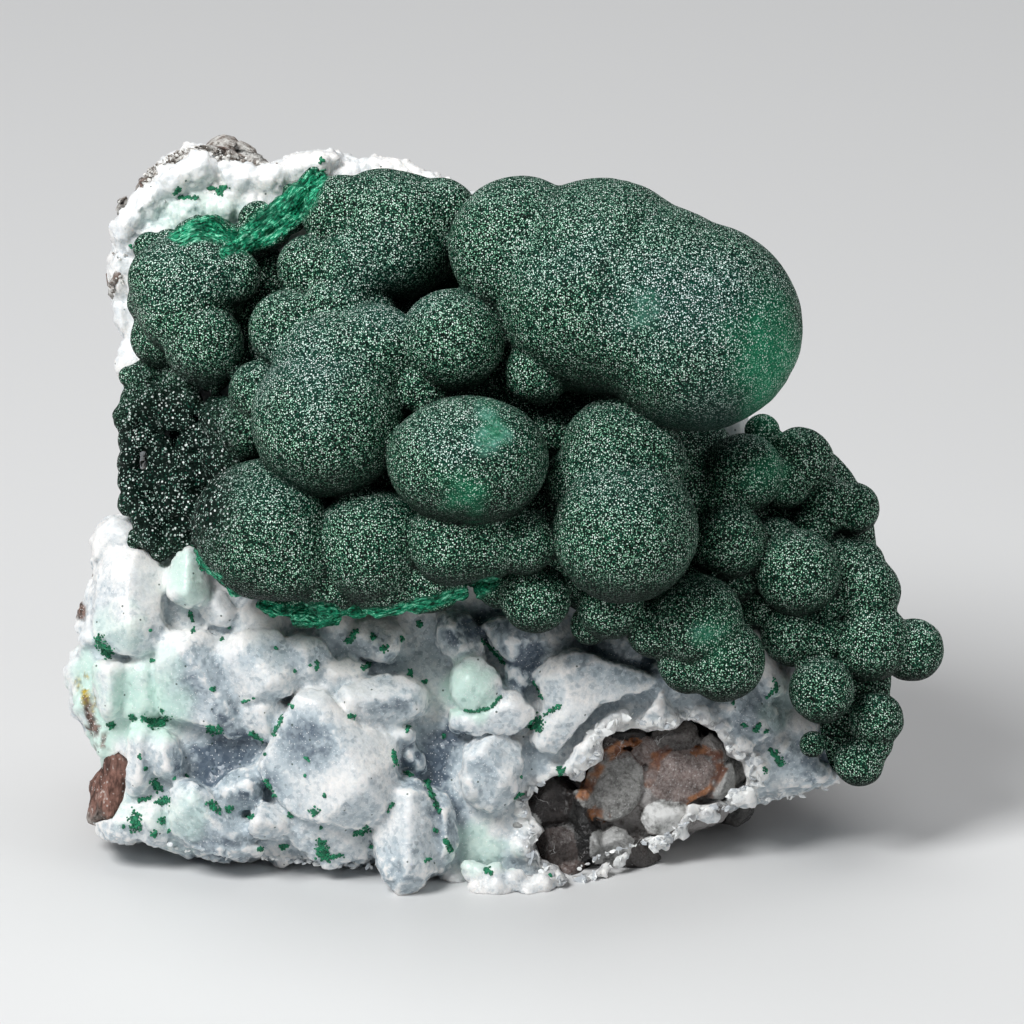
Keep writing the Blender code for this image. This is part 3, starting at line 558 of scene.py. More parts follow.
# Quartz crust
quartz = {
    "grain": 0.36, "triangles": 196000, "soften": 2, "fills": 2,
    # how much of the crystals' heights above the slab is used
    "height": 0.84,
    # the outline, clockwise from the left end of the top rim (right, up)
    "outline": [
        (-46.5, 72.5), (-48.2, 75.6), (-49.0, 79.4), (-49.2, 82.9), (-47.8, 86.0), (-45.9, 89.4),
        (-43.1, 92.5), (-39.9, 94.2), (-36.2, 94.2), (-31.9, 92.8), (-26.9, 92.8), (-21.9, 93.5),
        (-15.6, 92.9), (-9.4, 91.4),
        # hidden behind the malachite
        (-0.6, 88.0), (11.9, 86.0), (24.4, 81.0), (29.0, 73.0), (29.4, 64.4), (29.8, 58.1),
        (38.0, 52.4), (43.0, 46.0), (44.5, 38.1), (46.5, 31.9), (45.9, 25.6), (44.0, 20.0),
        # the lower edge, right to left
        (41.9, 15.2), (36.9, 13.5), (31.2, 12.8), (24.4, 10.9), (19.4, 8.4), (11.9, 5.9),
        (6.9, 3.1), (3.1, 1.8), (-1.9, 1.8), (-5.6, 3.1), (-9.4, 4.1), (-16.2, 4.6),
        (-24.4, 5.1), (-31.2, 5.9), (-37.5, 5.9), (-42.5, 7.4), (-50.0, 8.8),
        # the left edge, upwards
        (-51.5, 10.9), (-49.9, 15.0), (-50.9, 18.8), (-52.2, 21.2), (-54.1, 25.0), (-54.8, 29.1),
        (-52.9, 32.5), (-52.4, 38.1), (-51.6, 43.1), (-49.4, 48.1), (-46.9, 50.6), (-46.2, 56.9),
        (-46.5, 63.1), (-47.6, 65.0), (-47.9, 70.0),
    ],
    "lowerEdge": slice(26, 43),
    # between these heights the top rim's grain begins, and the blue-grey fades to white
    "rimTop": (78.0, 82.0), "whiteAbove": (62, 68),
    # the crust's profile from its front middle to its back: out, and the share of the way in to the middle
    "profile": [(6.0, 0.7), (6.0, 0.4), (6.0, 0.2), (5.9, 0.1), (5.2, 0.05), (4.4, 0.02), (3.4, 0.01),
                (2.4, 0.004), (1.4, 0.0), (0.4, 0.0), (-0.6, 0.0), (-1.6, 0.0), (-2.6, 0.0), (-3.6, 0.0),
                (-4.6, 0.005), (-5.6, 0.01), (-6.4, 0.02), (-7.0, 0.04), (-7.0, 0.3), (-7.0, 0.7)],
    "curvesFrom": 22.0, "curveBack": 0.28,
    # crystals: both ends of the crest (right, up, out), the fall from it to the outline, and the outline
    "blocks": [
        # the left edge, from the top down
        ((-49.1, 46.6, 8), (-47.5, 45.9, 8.5), 3,
         [(-51.8, 45.6), (-50.9, 47.5), (-48.8, 48.4), (-47.1, 48.0), (-45.6, 46.9), (-45.4, 44.6),
          (-47.5, 44.6), (-50.0, 44.0), (-51.5, 42.9)]),
        ((-47.1, 41.2, 12.5), (-46.9, 35.0, 14), 4.5,
         [(-50.9, 41.9), (-49.6, 44.1), (-47.5, 44.9), (-45.2, 44.6), (-43.8, 43.6), (-42.9, 41.9),
          (-42.8, 39.4), (-43.1, 36.9), (-42.5, 34.4), (-43.1, 32.1), (-45.6, 31.2), (-48.4, 31.2),
          (-50.6, 32.1), (-51.4, 34.4), (-51.5, 38.1)]),
        ((-39.6, 44.0, 12), (-39.8, 39.1, 13.5), 3.5,
         [(-42.5, 41.2), (-41.6, 43.1), (-40.6, 44.1), (-39.4, 44.8), (-38.4, 44.1), (-37.8, 42.5),
          (-37.1, 40.6), (-37.0, 38.5), (-38.1, 37.5), (-40.0, 37.1), (-41.6, 38.1), (-42.5, 39.4)]),
        ((-36.5, 37.9, 9.5), (-35.0, 36.2, 9.5), 2,
         [(-38.6, 37.1), (-37.5, 38.1), (-36.6, 39.4), (-35.4, 39.1), (-33.8, 37.5), (-33.4, 35.6),
          (-35.0, 34.6), (-37.5, 35.0)]),
        ((-52.4, 33.4, 7), (-51.6, 33.0, 7), 2,
         [(-53.4, 33.8), (-52.4, 34.6), (-51.0, 34.1), (-50.6, 32.9), (-51.6, 31.9), (-52.9, 32.1)]),
        ((-53.4, 29.6, 3.2), (-52.6, 26.2, 3.2), 1.4,
         [(-55.1, 28.8), (-54.6, 30.6), (-53.4, 31.0), (-51.6, 30.1), (-51.6, 26.9), (-51.6, 25.0),
          (-53.1, 25.0), (-54.1, 26.9)]),
        ((-49.6, 29.1, 11.5), (-49.5, 24.6, 10), 3,
         [(-51.5, 29.6), (-50.6, 30.5), (-48.4, 30.5), (-47.2, 29.6), (-47.6, 26.9), (-48.4, 24.9),
          (-49.0, 23.2), (-50.2, 23.2), (-51.0, 25.6), (-51.6, 27.9)]),
        ((-45.2, 29.1, 9.8), (-45.0, 25.6, 9), 1.8,
         [(-47.6, 30.1), (-45.6, 31.2), (-43.9, 31.9), (-43.4, 27.9), (-43.1, 23.8), (-45.6, 23.2),
          (-48.4, 23.6), (-48.4, 25.6)]),
        ((-50.6, 21.6, 5), (-50.4, 19.4, 4.5), 1.6,
         [(-51.5, 22.9), (-49.6, 22.1), (-49.8, 18.1), (-50.8, 18.0), (-51.5, 20.6)]),
        # the white lumps beside the bare rock
        ((-45.6, 20.6, 11), (-45.9, 15.6, 9.5), 2.8,
         [(-46.5, 22.6), (-45.2, 22.9), (-44.1, 21.6), (-44.0, 19.6), (-44.4, 17.5), (-44.1, 15.0),
          (-45.6, 13.4), (-47.1, 13.5), (-47.6, 15.6), (-47.4, 18.8), (-47.0, 20.9)]),
        ((-42.8, 19.6, 12), (-42.2, 17.1, 11.5), 3,
         [(-44.1, 21.2), (-42.5, 21.9), (-41.0, 20.9), (-40.5, 18.8), (-40.6, 16.6), (-41.6, 15.6),
          (-43.4, 15.8), (-44.5, 17.5), (-44.4, 19.6)]),
        ((-49.1, 10.1, 6.5), (-44.4, 10.4, 8), 2.5,
         [(-51.2, 10.6), (-50.0, 11.6), (-47.5, 13.1), (-44.4, 13.8), (-42.1, 13.1), (-41.9, 9.4),
          (-42.5, 7.1), (-45.6, 7.9), (-48.1, 7.5), (-50.6, 8.4)]),
        # the row under the malachite
        ((-40.2, 31.9, 14), (-35.4, 25.0, 12), 4,
         [(-43.4, 33.1), (-41.9, 34.4), (-38.1, 34.6), (-35.4, 33.1), (-36.0, 30.4), (-34.6, 26.9),
          (-33.1, 24.1), (-32.8, 21.2), (-34.6, 21.1), (-37.5, 22.2), (-40.0, 22.9), (-43.1, 23.9),
          (-43.6, 28.1)]),
        ((-32.9, 32.1, 14.5), (-29.1, 27.9, 15), 3.6,
         [(-36.0, 31.2), (-35.0, 33.4), (-32.5, 34.4), (-28.8, 34.4), (-26.9, 32.9), (-26.6, 30.1),
          (-26.1, 27.1), (-27.5, 25.9), (-30.4, 25.6), (-33.1, 25.2), (-34.6, 28.1)]),
        ((-30.4, 24.6, 12.5), (-29.9, 21.9, 11), 2.5,
         [(-33.1, 25.2), (-30.4, 25.9), (-27.8, 25.0), (-27.6, 23.1), (-29.1, 20.6), (-30.4, 20.4),
          (-31.9, 21.1), (-33.1, 22.1)]),
        ((-25.2, 31.9, 14), (-24.4, 29.4, 13.5), 3,
         [(-27.5, 33.1), (-25.6, 34.1), (-23.4, 33.6), (-21.9, 32.1), (-21.6, 30.0), (-22.5, 27.9),
          (-24.4, 27.1), (-26.2, 27.5), (-27.4, 29.4), (-27.9, 31.2)]),
        ((-21.2, 28.8, 13), (-18.9, 28.6, 12.5), 2.4,
         [(-23.4, 29.1), (-21.9, 30.4), (-19.6, 30.9), (-17.5, 30.0), (-16.9, 28.1), (-17.9, 26.9),
          (-20.0, 26.1), (-22.1, 25.6), (-23.4, 26.9)]),
        ((-18.4, 34.1, 10.5), (-14.8, 32.1, 11.5), 3,
         [(-21.9, 31.9), (-20.6, 34.1), (-18.8, 35.6), (-16.2, 36.0), (-13.8, 35.4), (-12.6, 33.8),
          (-13.1, 31.2), (-14.4, 30.0), (-16.9, 30.6), (-19.1, 31.2), (-20.9, 30.6)]),
        ((-19.5, 25.6, 16.5), (-12.1, 26.1, 13.5), 3,
         [(-21.0, 25.9), (-20.0, 27.2), (-18.1, 27.9), (-15.0, 28.6), (-11.9, 28.1), (-9.6, 26.9),
          (-10.0, 24.4), (-12.5, 22.9), (-15.0, 22.1), (-17.9, 23.1), (-19.6, 23.5), (-20.6, 24.6)]),
        # the large middle crystal
        ((-23.6, 25.4, 18), (-17.9, 15.6, 18.5), 6,
         [(-26.1, 25.9), (-25.2, 26.8), (-22.5, 26.8), (-21.6, 25.6), (-20.0, 23.6), (-17.9, 22.1),
          (-15.0, 21.5), (-13.4, 20.1), (-13.6, 17.5), (-13.5, 15.0), (-14.1, 13.1), (-15.6, 10.9),
          (-17.4, 9.6), (-20.0, 9.6), (-23.1, 10.4), (-26.2, 10.9), (-28.4, 13.5), (-30.1, 15.6),
          (-30.9, 17.6), (-29.0, 20.2), (-28.0, 23.1), (-26.9, 24.6)]),
        ((-23.4, 11.2, 12.5), (-20.0, 8.1, 10.5), 3.4,
         [(-27.5, 13.1), (-25.6, 14.1), (-21.9, 13.1), (-19.4, 11.6), (-17.1, 9.9), (-16.2, 7.5),
          (-18.1, 5.4), (-21.2, 4.9), (-24.1, 5.6), (-26.2, 7.1), (-27.8, 9.6)]),
        # in and below the left hollow
        ((-34.9, 14.1, 10.5), (-32.1, 15.1, 11.5), 2.6,
         [(-36.8, 13.1), (-36.2, 15.0), (-35.0, 16.2), (-33.1, 17.1), (-31.6, 16.9), (-30.4, 15.6),
          (-30.2, 13.8), (-31.2, 12.4), (-33.1, 11.5), (-35.0, 11.2), (-36.4, 11.6)]),
        ((-39.1, 13.1, 13.5), (-35.1, 8.9, 11.5), 4,
         [(-41.6, 15.4), (-39.4, 15.8), (-37.1, 14.4), (-36.6, 12.5), (-33.8, 11.2), (-31.9, 10.4),
          (-31.9, 8.1), (-30.9, 6.6), (-33.1, 5.9), (-36.2, 6.2), (-39.4, 7.4), (-41.6, 8.8),
          (-42.1, 11.9)]),
        ((-31.0, 10.4, 14.5), (-28.1, 9.9, 12.5), 3,
         [(-32.4, 9.6), (-31.6, 11.6), (-30.4, 12.6), (-28.8, 12.4), (-26.9, 11.2), (-26.6, 9.1),
          (-27.9, 8.0), (-30.4, 8.0), (-31.9, 8.6)]),
        # the twin humps at the bottom
        ((-11.8, 14.1, 15), (-12.2, 4.6, 15.5), 4.4,
         [(-13.5, 15.0), (-12.5, 16.2), (-10.9, 15.6), (-9.6, 13.8), (-8.6, 11.2), (-8.4, 7.5),
          (-9.1, 4.4), (-10.0, 2.5), (-11.6, 1.1), (-13.4, 1.2), (-15.0, 3.1), (-16.1, 6.2), (-16.6, 8.8),
          (-15.6, 10.6), (-14.1, 12.8)]),
        ((-7.6, 11.6, 11.5), (-7.4, 6.9, 11.5), 3,
         [(-10.6, 14.4), (-9.1, 14.9), (-7.5, 13.8), (-6.2, 11.2), (-5.9, 8.1), (-6.6, 5.6), (-8.1, 4.1),
          (-9.4, 4.4), (-8.4, 7.5), (-8.9, 11.2)]),
        # round the right hollow
        ((-12.1, 18.8, 10.5), (-11.1, 17.6, 9.5), 2,
         [(-13.6, 19.4), (-12.5, 20.1), (-10.9, 19.9), (-9.8, 18.6), (-9.9, 16.9), (-11.4, 16.1),
          (-12.9, 16.9)]),
        ((-13.8, 21.0, 12.5), (-12.4, 21.1, 12), 1.8,
         [(-14.9, 21.6), (-13.4, 22.1), (-11.6, 21.9), (-11.4, 20.6), (-12.9, 19.9), (-14.4, 20.1)]),
        ((-3.1, 19.1, 13.5), (0.1, 15.9, 12.5), 3.6,
         [(-5.2, 18.1), (-4.9, 20.0), (-3.1, 21.0), (-0.6, 21.2), (1.9, 20.0), (2.5, 17.5), (1.9, 14.4),
          (0.0, 12.5), (-1.9, 11.6), (-3.8, 12.5), (-5.4, 15.0)]),
        ((-4.5, 15.5, 12), (-3.9, 14.2, 11.5), 2.2,
         [(-5.8, 16.2), (-4.6, 17.1), (-3.1, 16.2), (-2.4, 14.4), (-3.1, 12.9), (-4.9, 13.1)]),
        # the slate-blue crystals and the mint disc
        ((-6.6, 35.0, 11.5), (-5.1, 32.1, 12.5), 3,
         [(-8.9, 33.1), (-8.4, 35.9), (-6.9, 36.9), (-4.6, 36.6), (-3.4, 34.6), (-2.6, 31.9), (-3.4, 30.4),
          (-6.2, 30.4), (-7.5, 31.2)]),
        ((0.9, 33.1, 12.5), (5.4, 33.1, 10.5), 3,
         [(-2.9, 35.0), (-0.6, 36.2), (1.9, 35.9), (5.0, 35.0), (7.5, 36.2), (8.8, 33.8), (8.1, 31.2),
          (5.6, 30.4), (3.1, 29.6), (0.6, 30.0), (-1.2, 31.9)]),
        ((1.1, 29.1, 11), (2.1, 27.9, 10.5), 1.8,
         [(-0.1, 30.0), (1.2, 30.6), (3.1, 30.1), (3.6, 28.1), (2.4, 26.4), (0.4, 26.9)]),
        ((-4.4, 28.1, 15.5), (-2.9, 27.1, 15), 2.2,
         [(-7.0, 28.8), (-5.9, 30.1), (-4.6, 31.0), (-3.1, 31.0), (-1.9, 29.6), (-0.9, 29.1), (-0.4, 27.6),
          (-0.6, 26.2), (-1.9, 25.0), (-3.4, 24.4), (-5.0, 24.4), (-6.2, 25.6), (-6.9, 27.1)]),
        ((-4.6, 22.9, 13), (1.1, 24.9, 14), 2,
         [(-6.9, 24.4), (-5.0, 24.1), (-3.1, 24.1), (-1.2, 24.9), (0.0, 26.9), (1.9, 26.6), (2.4, 25.6),
          (3.6, 24.4), (3.4, 23.1), (1.9, 21.9), (0.6, 21.6), (-2.1, 21.9), (-3.4, 21.4), (-6.9, 21.9)]),
        # the smooth white crystals above the break
        ((7.1, 29.1, 14.5), (8.4, 24.9, 13.5), 4,
         [(3.5, 28.8), (5.0, 30.4), (6.9, 31.2), (8.8, 31.9), (10.6, 31.2), (13.1, 30.4), (16.9, 29.1),
          (19.4, 28.1), (18.8, 26.9), (15.6, 26.2), (11.9, 25.4), (8.8, 21.9), (6.4, 18.8), (4.4, 19.1),
          (3.1, 20.6), (4.4, 23.8), (5.0, 25.6)]),
        ((9.8, 19.4, 11), (12.9, 22.9, 10.5), 2.2,
         [(7.2, 16.2), (8.1, 18.8), (10.0, 20.9), (11.9, 22.9), (13.4, 24.1), (15.0, 24.6), (15.9, 23.8),
          (13.8, 22.1), (12.2, 20.4), (11.9, 18.5), (10.0, 16.9)]),
        ((19.0, 24.9, 12.5), (19.6, 23.4, 11), 3,
         [(17.1, 22.1), (17.6, 24.1), (18.8, 25.6), (19.9, 25.6), (20.9, 24.4), (22.1, 23.4), (21.6, 22.1),
          (19.4, 21.9)]),
        ((19.5, 26.4, 11.5), (19.9, 25.9, 10.5), 1.6,
         [(19.0, 25.6), (19.0, 26.6), (19.8, 27.0), (20.5, 26.4), (20.4, 25.4)]),
        # the grey strip at the right
        ((28.4, 24.6, 7.2), (31.9, 22.9, 5.6), 2,
         [(24.4, 22.5), (26.2, 25.0), (28.5, 26.9), (31.2, 27.5), (33.1, 26.2), (34.4, 23.8), (33.8, 21.2),
          (31.2, 20.0), (28.8, 19.4), (26.2, 20.6)]),
        ((31.4, 33.1, 7), (33.6, 27.9, 6.5), 2,
         [(29.1, 35.0), (30.6, 36.2), (32.5, 33.1), (34.4, 30.0), (35.0, 26.9), (33.1, 25.6), (31.2, 26.9),
          (32.1, 30.0), (30.9, 32.5)]),
        ((34.9, 19.6, 4.6), (38.4, 16.4, 1.8), 2,
         [(32.5, 20.0), (35.0, 22.5), (36.9, 21.2), (38.8, 18.8), (40.6, 16.9), (41.6, 15.6), (39.4, 15.1),
          (36.2, 14.4), (33.8, 14.4), (32.1, 16.2)]),
        # the thick band at the top left
        ((-47.5, 85.1, 8), (-44.5, 88.6, 9), 2.4,
         [(-49.1, 83.4), (-49.4, 85.0), (-48.1, 86.6), (-46.8, 88.1), (-44.4, 90.4), (-43.1, 89.4),
          (-43.4, 87.5), (-44.4, 85.4), (-45.6, 83.4), (-47.5, 82.5)]),
        ((-42.1, 90.5, 9.2), (-38.1, 92.4, 9.2), 2.4,
         [(-44.4, 90.4), (-41.2, 92.5), (-39.0, 94.4), (-37.1, 94.1), (-36.1, 92.9), (-36.6, 90.6),
          (-39.4, 89.9), (-42.5, 88.8), (-43.8, 88.8)]),
        ((-33.8, 90.9, 8.6), (-29.4, 90.6, 8.6), 2,
         [(-36.1, 92.9), (-33.8, 93.1), (-31.2, 92.4), (-28.8, 92.6), (-26.9, 91.9), (-27.5, 89.6),
          (-29.4, 88.8), (-32.5, 88.1), (-34.1, 88.8), (-35.0, 90.6)]),
        ((-25.9, 92.4, 8), (-22.9, 92.9, 7.4), 2,
         [(-28.8, 92.6), (-26.9, 93.6), (-24.4, 94.2), (-21.9, 94.4), (-20.6, 93.4), (-21.9, 91.9),
          (-23.4, 90.9), (-25.6, 90.1), (-27.5, 89.9)]),
        ((-31.4, 87.6, 7.8), (-29.4, 88.0, 7.8), 1.5,
         [(-33.1, 88.1), (-30.4, 88.8), (-27.9, 89.4), (-27.2, 88.6), (-28.4, 87.5), (-29.9, 86.5),
          (-31.9, 86.6), (-33.1, 86.6)]),
        ((-40.4, 87.4, 7.2), (-35.4, 87.6, 7.2), 1.4,
         [(-43.1, 88.8), (-40.6, 89.6), (-36.6, 90.4), (-34.6, 89.9), (-33.1, 88.1), (-33.4, 86.2),
          (-35.0, 85.4), (-37.1, 85.6), (-39.4, 85.4), (-41.2, 84.6), (-43.1, 85.0), (-43.4, 87.1)]),
        ((-46.4, 68.6, 5), (-46.1, 66.6, 5.5), 2.4,
         [(-48.0, 67.5), (-47.5, 69.4), (-46.9, 70.2), (-45.6, 70.0), (-44.6, 68.4), (-44.4, 66.6),
          (-45.2, 65.4), (-46.6, 64.6), (-47.8, 65.4)]),
        ((-48.4, 80.4, 5), (-48.5, 77.4, 4.5), 1.5,
         [(-48.4, 82.1), (-47.1, 81.9), (-46.8, 80.4), (-47.1, 78.4), (-47.5, 76.6), (-48.4, 75.6),
          (-49.6, 77.5), (-49.9, 79.4), (-49.1, 80.9)]),
        ((-48.2, 74.6, 4.2), (-47.9, 72.4, 3.8), 1.4,
         [(-49.1, 75.6), (-48.1, 75.6), (-47.1, 73.4), (-47.1, 71.2), (-48.1, 71.6), (-49.1, 73.4)]),
    ],
    # rounded lumps: right, up, out, radius
    "lumps": [
        # the cauliflower lumps on the lower edge
        (-4.4, 4.4, 8.5, 1.3), (-2.9, 1.9, 9, 1.5), (-1.0, 2.1, 9.5, 1.6), (0.9, 3.1, 9, 1.5),
        (0.6, 1.1, 8, 1.2), (2.8, 1.6, 9, 1.6), (4.6, 2.4, 8.5, 1.6), (3.8, 0.6, 7, 1.0), (6.2, 3.4, 8, 1.5),
        (7.5, 4.1, 7, 1.1), (-3.1, 4.1, 9, 1.2), (-1.2, 4.0, 9.5, 1.3), (-6.4, 3.4, 5, 1.8),
        # round the broken window
        (3.4, 9.2, 5.5, 1.5), (2.0, 11.8, 5.5, 1.4), (1.8, 7.0, 5.5, 1.6), (9.0, 17.6, 5.5, 1.4),
        (6.4, 16.8, 5.5, 1.4), (11.2, 19.8, 6, 1.2), (24.4, 23.6, 6.5, 1.4), (27.4, 22.0, 6, 1.3),
        (29.6, 20.0, 5, 1.4), (31.8, 16.6, 4, 1.6), (30.2, 13.2, 3, 1.4), (25.6, 11.2, 3, 1.2),
        (22.0, 9.4, 2.5, 1.1), (19.6, 7.6, 2.5, 1.0), (11.9, 4.0, 5, 1.2), (9.9, 3.0, 5.5, 1.2),
        (14.4, 5.4, 4, 1.0),
        # under the malachite
        (-30.6, 35.4, 6, 3.2), (-21.2, 34.4, 5.5, 3.4), (14.4, 31.6, 5, 3.8),
        (20.0, 28.1, 6, 2.8), (33.1, 28.1, 3, 2.5), (36.9, 21.9, 2, 2.5),
        # the rim at the top left
        (-46.4, 67.6, 3, 2.4), (-47.6, 75.0, 2, 1.5), (-47.4, 79.4, 3, 2.0), (-46.6, 83.4, 4, 2.2),
        (-44.9, 87.2, 4.5, 2.5), (-41.6, 90.2, 4.5, 2.6), (-37.6, 91.4, 4.5, 2.4), (-33.2, 90.2, 4.5, 2.4),
        (-28.9, 90.4, 4.5, 2.2), (-24.4, 91.2, 4.5, 2.0), (-19.6, 91.4, 3.5, 1.8), (-14.6, 91.0, 2.5, 1.6),
        (-42.9, 83.4, 5.5, 2.4), (-39.4, 86.6, 6, 2.4), (-35.4, 87.2, 6, 2.2), (-31.2, 86.6, 6, 2.2),
        (-27.4, 87.2, 5.5, 2.0), (-36.6, 83.2, 5.5, 2.2), (-32.4, 82.6, 5.5, 2.4), (-49.1, 46.9, -2, 2.0),
    ],
    # the window broken through the crust (right, up), and the bare patch of rock at the left
    "window": [
        (7.8, 3.1), (5.9, 4.8), (4.1, 6.2), (3.5, 7.5), (4.5, 9.1), (2.9, 11.1), (2.9, 12.9), (3.9, 14.4),
        (6.9, 15.5), (9.6, 15.6), (9.9, 16.8), (12.0, 18.5), (11.9, 20.0), (12.4, 21.0), (13.8, 22.0),
        (15.9, 22.2), (17.9, 21.6), (20.9, 22.2), (22.5, 23.1), (24.1, 22.5), (26.5, 21.5), (28.2, 18.8),
        (30.1, 17.9), (30.6, 15.2), (30.2, 14.1), (28.5, 14.4), (27.8, 13.1), (25.6, 12.2), (23.4, 12.2),
        (22.6, 11.2), (20.6, 8.4), (17.5, 8.0), (15.9, 7.4), (15.4, 6.5), (13.8, 5.8), (12.0, 4.8),
        (9.6, 3.4),
    ],
    "windowFloor": -9.0, "patchFloor": 0.5,
    "patch": [(-52.5, 10.5), (-50.6, 17.5), (-48.4, 19.6), (-47.2, 18.1), (-47.9, 14.4), (-49.1, 10.4)],
    # colour patches: seed, raggedness, and rows of right, up, half width, half height, strength
    "slate": {"seed": 90, "ragged": 1.2, "fade": (0.3, 1.35), "rows": [
        (-36.6, 17.6, 4.5, 3.6, 1.0), (-33.5, 19.5, 3.4, 2.0, 0.7), (-31.0, 14.6, 3.5, 3.5, 0.55),
        (-9.2, 17.6, 3.4, 5.0, 1.0), (-6.8, 20.8, 2.4, 2.0, 0.8), (-7.5, 12.5, 2.0, 4.0, 0.6),
        (-38.2, 28.8, 4.0, 4.5, 0.5), (-35.0, 23.8, 2.2, 3.0, 0.6), (-24.8, 20.6, 4.6, 4.2, 0.5),
        (-13.6, 25.0, 3.4, 1.8, 0.5), (-5.0, 34.5, 4.5, 3.0, 0.8), (1.8, 31.2, 3.0, 5.0, 0.9),
        (-0.5, 35.5, 8.0, 2.6, 0.6), (-1.8, 18.6, 3.6, 3.0, 0.35), (-36.0, 9.0, 5.0, 4.6, 0.45),
        (-7.0, 8.4, 2.6, 4.2, 0.5), (-13.0, 5.6, 3.6, 4.2, 0.3), (15.4, 31.6, 8.0, 4.0, 0.8),
        (23.0, 28.6, 5.0, 2.6, 0.6), (30.8, 23.6, 5.0, 5.0, 0.45), (37.4, 18.6, 5.5, 3.5, 0.6),
        (-29.5, 31.5, 5.0, 2.4, 0.35), (-22.0, 31.8, 4.0, 2.6, 0.35), (-16.0, 31.0, 4.0, 3.4, 0.4),
        (3.5, 18.5, 3.6, 3.0, 0.3), (-35.5, 85.4, 8.0, 2.4, 0.8), (-42.5, 85.0, 3.0, 3.0, 0.5)]},
    "mint": {"seed": 95, "ragged": 1.4, "rows": [
        (-40.0, 41.0, 3.2, 4.5, 0.85), (-52.8, 28.0, 2.6, 5.0, 1.0), (-45.0, 25.0, 5.6, 5.2, 1.0),
        (-50.4, 20.2, 2.6, 4.0, 1.0), (-46.0, 22.4, 5.0, 1.8, 1.0), (-4.0, 27.2, 3.8, 3.8, 1.0),
        (-48.5, 34.0, 3.2, 3.0, 0.5), (-2.8, 6.4, 4.6, 3.6, 0.8), (-41.0, 10.6, 4.6, 3.4, 0.5),
        (-33.4, 84.6, 2.6, 5.0, 0.5), (-43.0, 29.0, 3.0, 4.0, 0.45), (12.4, 11.0, 2.2, 1.6, 0.9),
        (-37.0, 86.0, 8.0, 3.4, 0.6), (34.0, 25.5, 2.0, 4.0, 0.4), (-47.4, 12.0, 3.6, 2.4, 0.4)]},
    "ochre": {"seed": 97, "ragged": 0.9, "fade": (0.5, 1.1), "size": 1.2, "rows": [
        (-53.4, 27.4, 0.7, 1.0, 0.8), (-52.4, 25.9, 1.1, 0.8, 1.0), (-51.8, 24.8, 0.6, 0.7, 0.7)]},
    "brown": {"seed": 98, "ragged": 0.9, "fade": (0.6, 1.1), "size": 1.2, "rows": [
        (-52.0, 23.2, 0.9, 2.4, 1.0), (-53.2, 37.0, 0.8, 1.6, 1.0), (-50.6, 20.4, 0.7, 1.6, 0.8)]},
}


def ragged(outline, step, rough, seed):
    # The outline with points this far apart, each pushed in or out a little
    points = np.array(outline, float)
    steps = np.diff(np.concatenate([points, points[:1]]), axis=0)
    lengths = np.linalg.norm(steps, axis=1)
    along = np.arange(0, lengths.sum(), step)
    starts = np.concatenate([[0], np.cumsum(lengths)])
    index = np.searchsorted(starts, along, side="right") - 1
    t = ((along - starts[index]) / lengths[index])[:, None]
    places = points[index] + steps[index] * t
    outward = np.stack([-steps[index][:, 1], steps[index][:, 0]], axis=-1) / lengths[index][:, None]
    push = layeredNoise(np.column_stack([places, np.zeros(len(places))]), 2.6, seed) * rough
    return places + outward * push[:, None]


def slab(outline, profile):
    # The outline carried through a profile of (out, share of the way in), closed at both middles
    edge = np.array(outline, float)
    middle = edge.mean(axis=0)
    rings = [np.column_stack([edge + (middle - edge) * inset, np.full(len(edge), out)])
             for out, inset in profile]
    return loft(np.array(rings), (*middle, profile[0][0]), (*middle, profile[-1][0]))


def roof(away, count, random):
    # Flat faces fall from the crest on all sides: how far down its own face each point of the outline lies
    start, stray = random.uniform(0, 6.28), random.uniform(-0.3, 0.3, count)
    turn = start + (np.arange(count) + stray) * 2 * math.pi / count
    leaning = away @ np.stack([np.cos(turn), np.sin(turn)])
    return (leaning / leaning.max(axis=0)).max(axis=1)[:, None]


def block(first, second, drop, outline, root=-3.0, domed=1.3, seed=1):
    # A crystal: from its crest line it falls by drop to its outline, and from there it goes down to its root
    edge = ragged(outline, 0.4, 0.12, seed)
    start, end = np.array(first, float), np.array(second, float)
    step = end[:2] - start[:2]
    t = np.clip((edge - start[:2]) @ step / (step @ step), 0, 1)[:, None]
    crest = start + (end - start) * t
    fall = roof(edge - crest[:, :2], 6, np.random.default_rng(seed))[:, 0]
    rings = []
    for share in np.linspace(0.03, 1, 12):
        flat = crest[:, :2] + (edge - crest[:, :2]) * share
        rings.append(np.column_stack([flat, crest[:, 2] - drop * (share * fall) ** domed]))
    low = crest[:, 2] - drop * fall ** domed
    for share in (0.35, 0.7, 1):
        flat = edge + (edge - edge.mean(axis=0)) * 0.05 * share
        rings.append(np.column_stack([flat, low + (root - low) * share]))
    return loft(np.array(rings), (start + end) / 2, (*edge.mean(axis=0), root))


def curveBack(points):
    # The crust curves back towards its right end
    points[:, 2] -= quartz["curveBack"] * np.maximum(0.0, points[:, 0] - quartz["curvesFrom"])
    return points


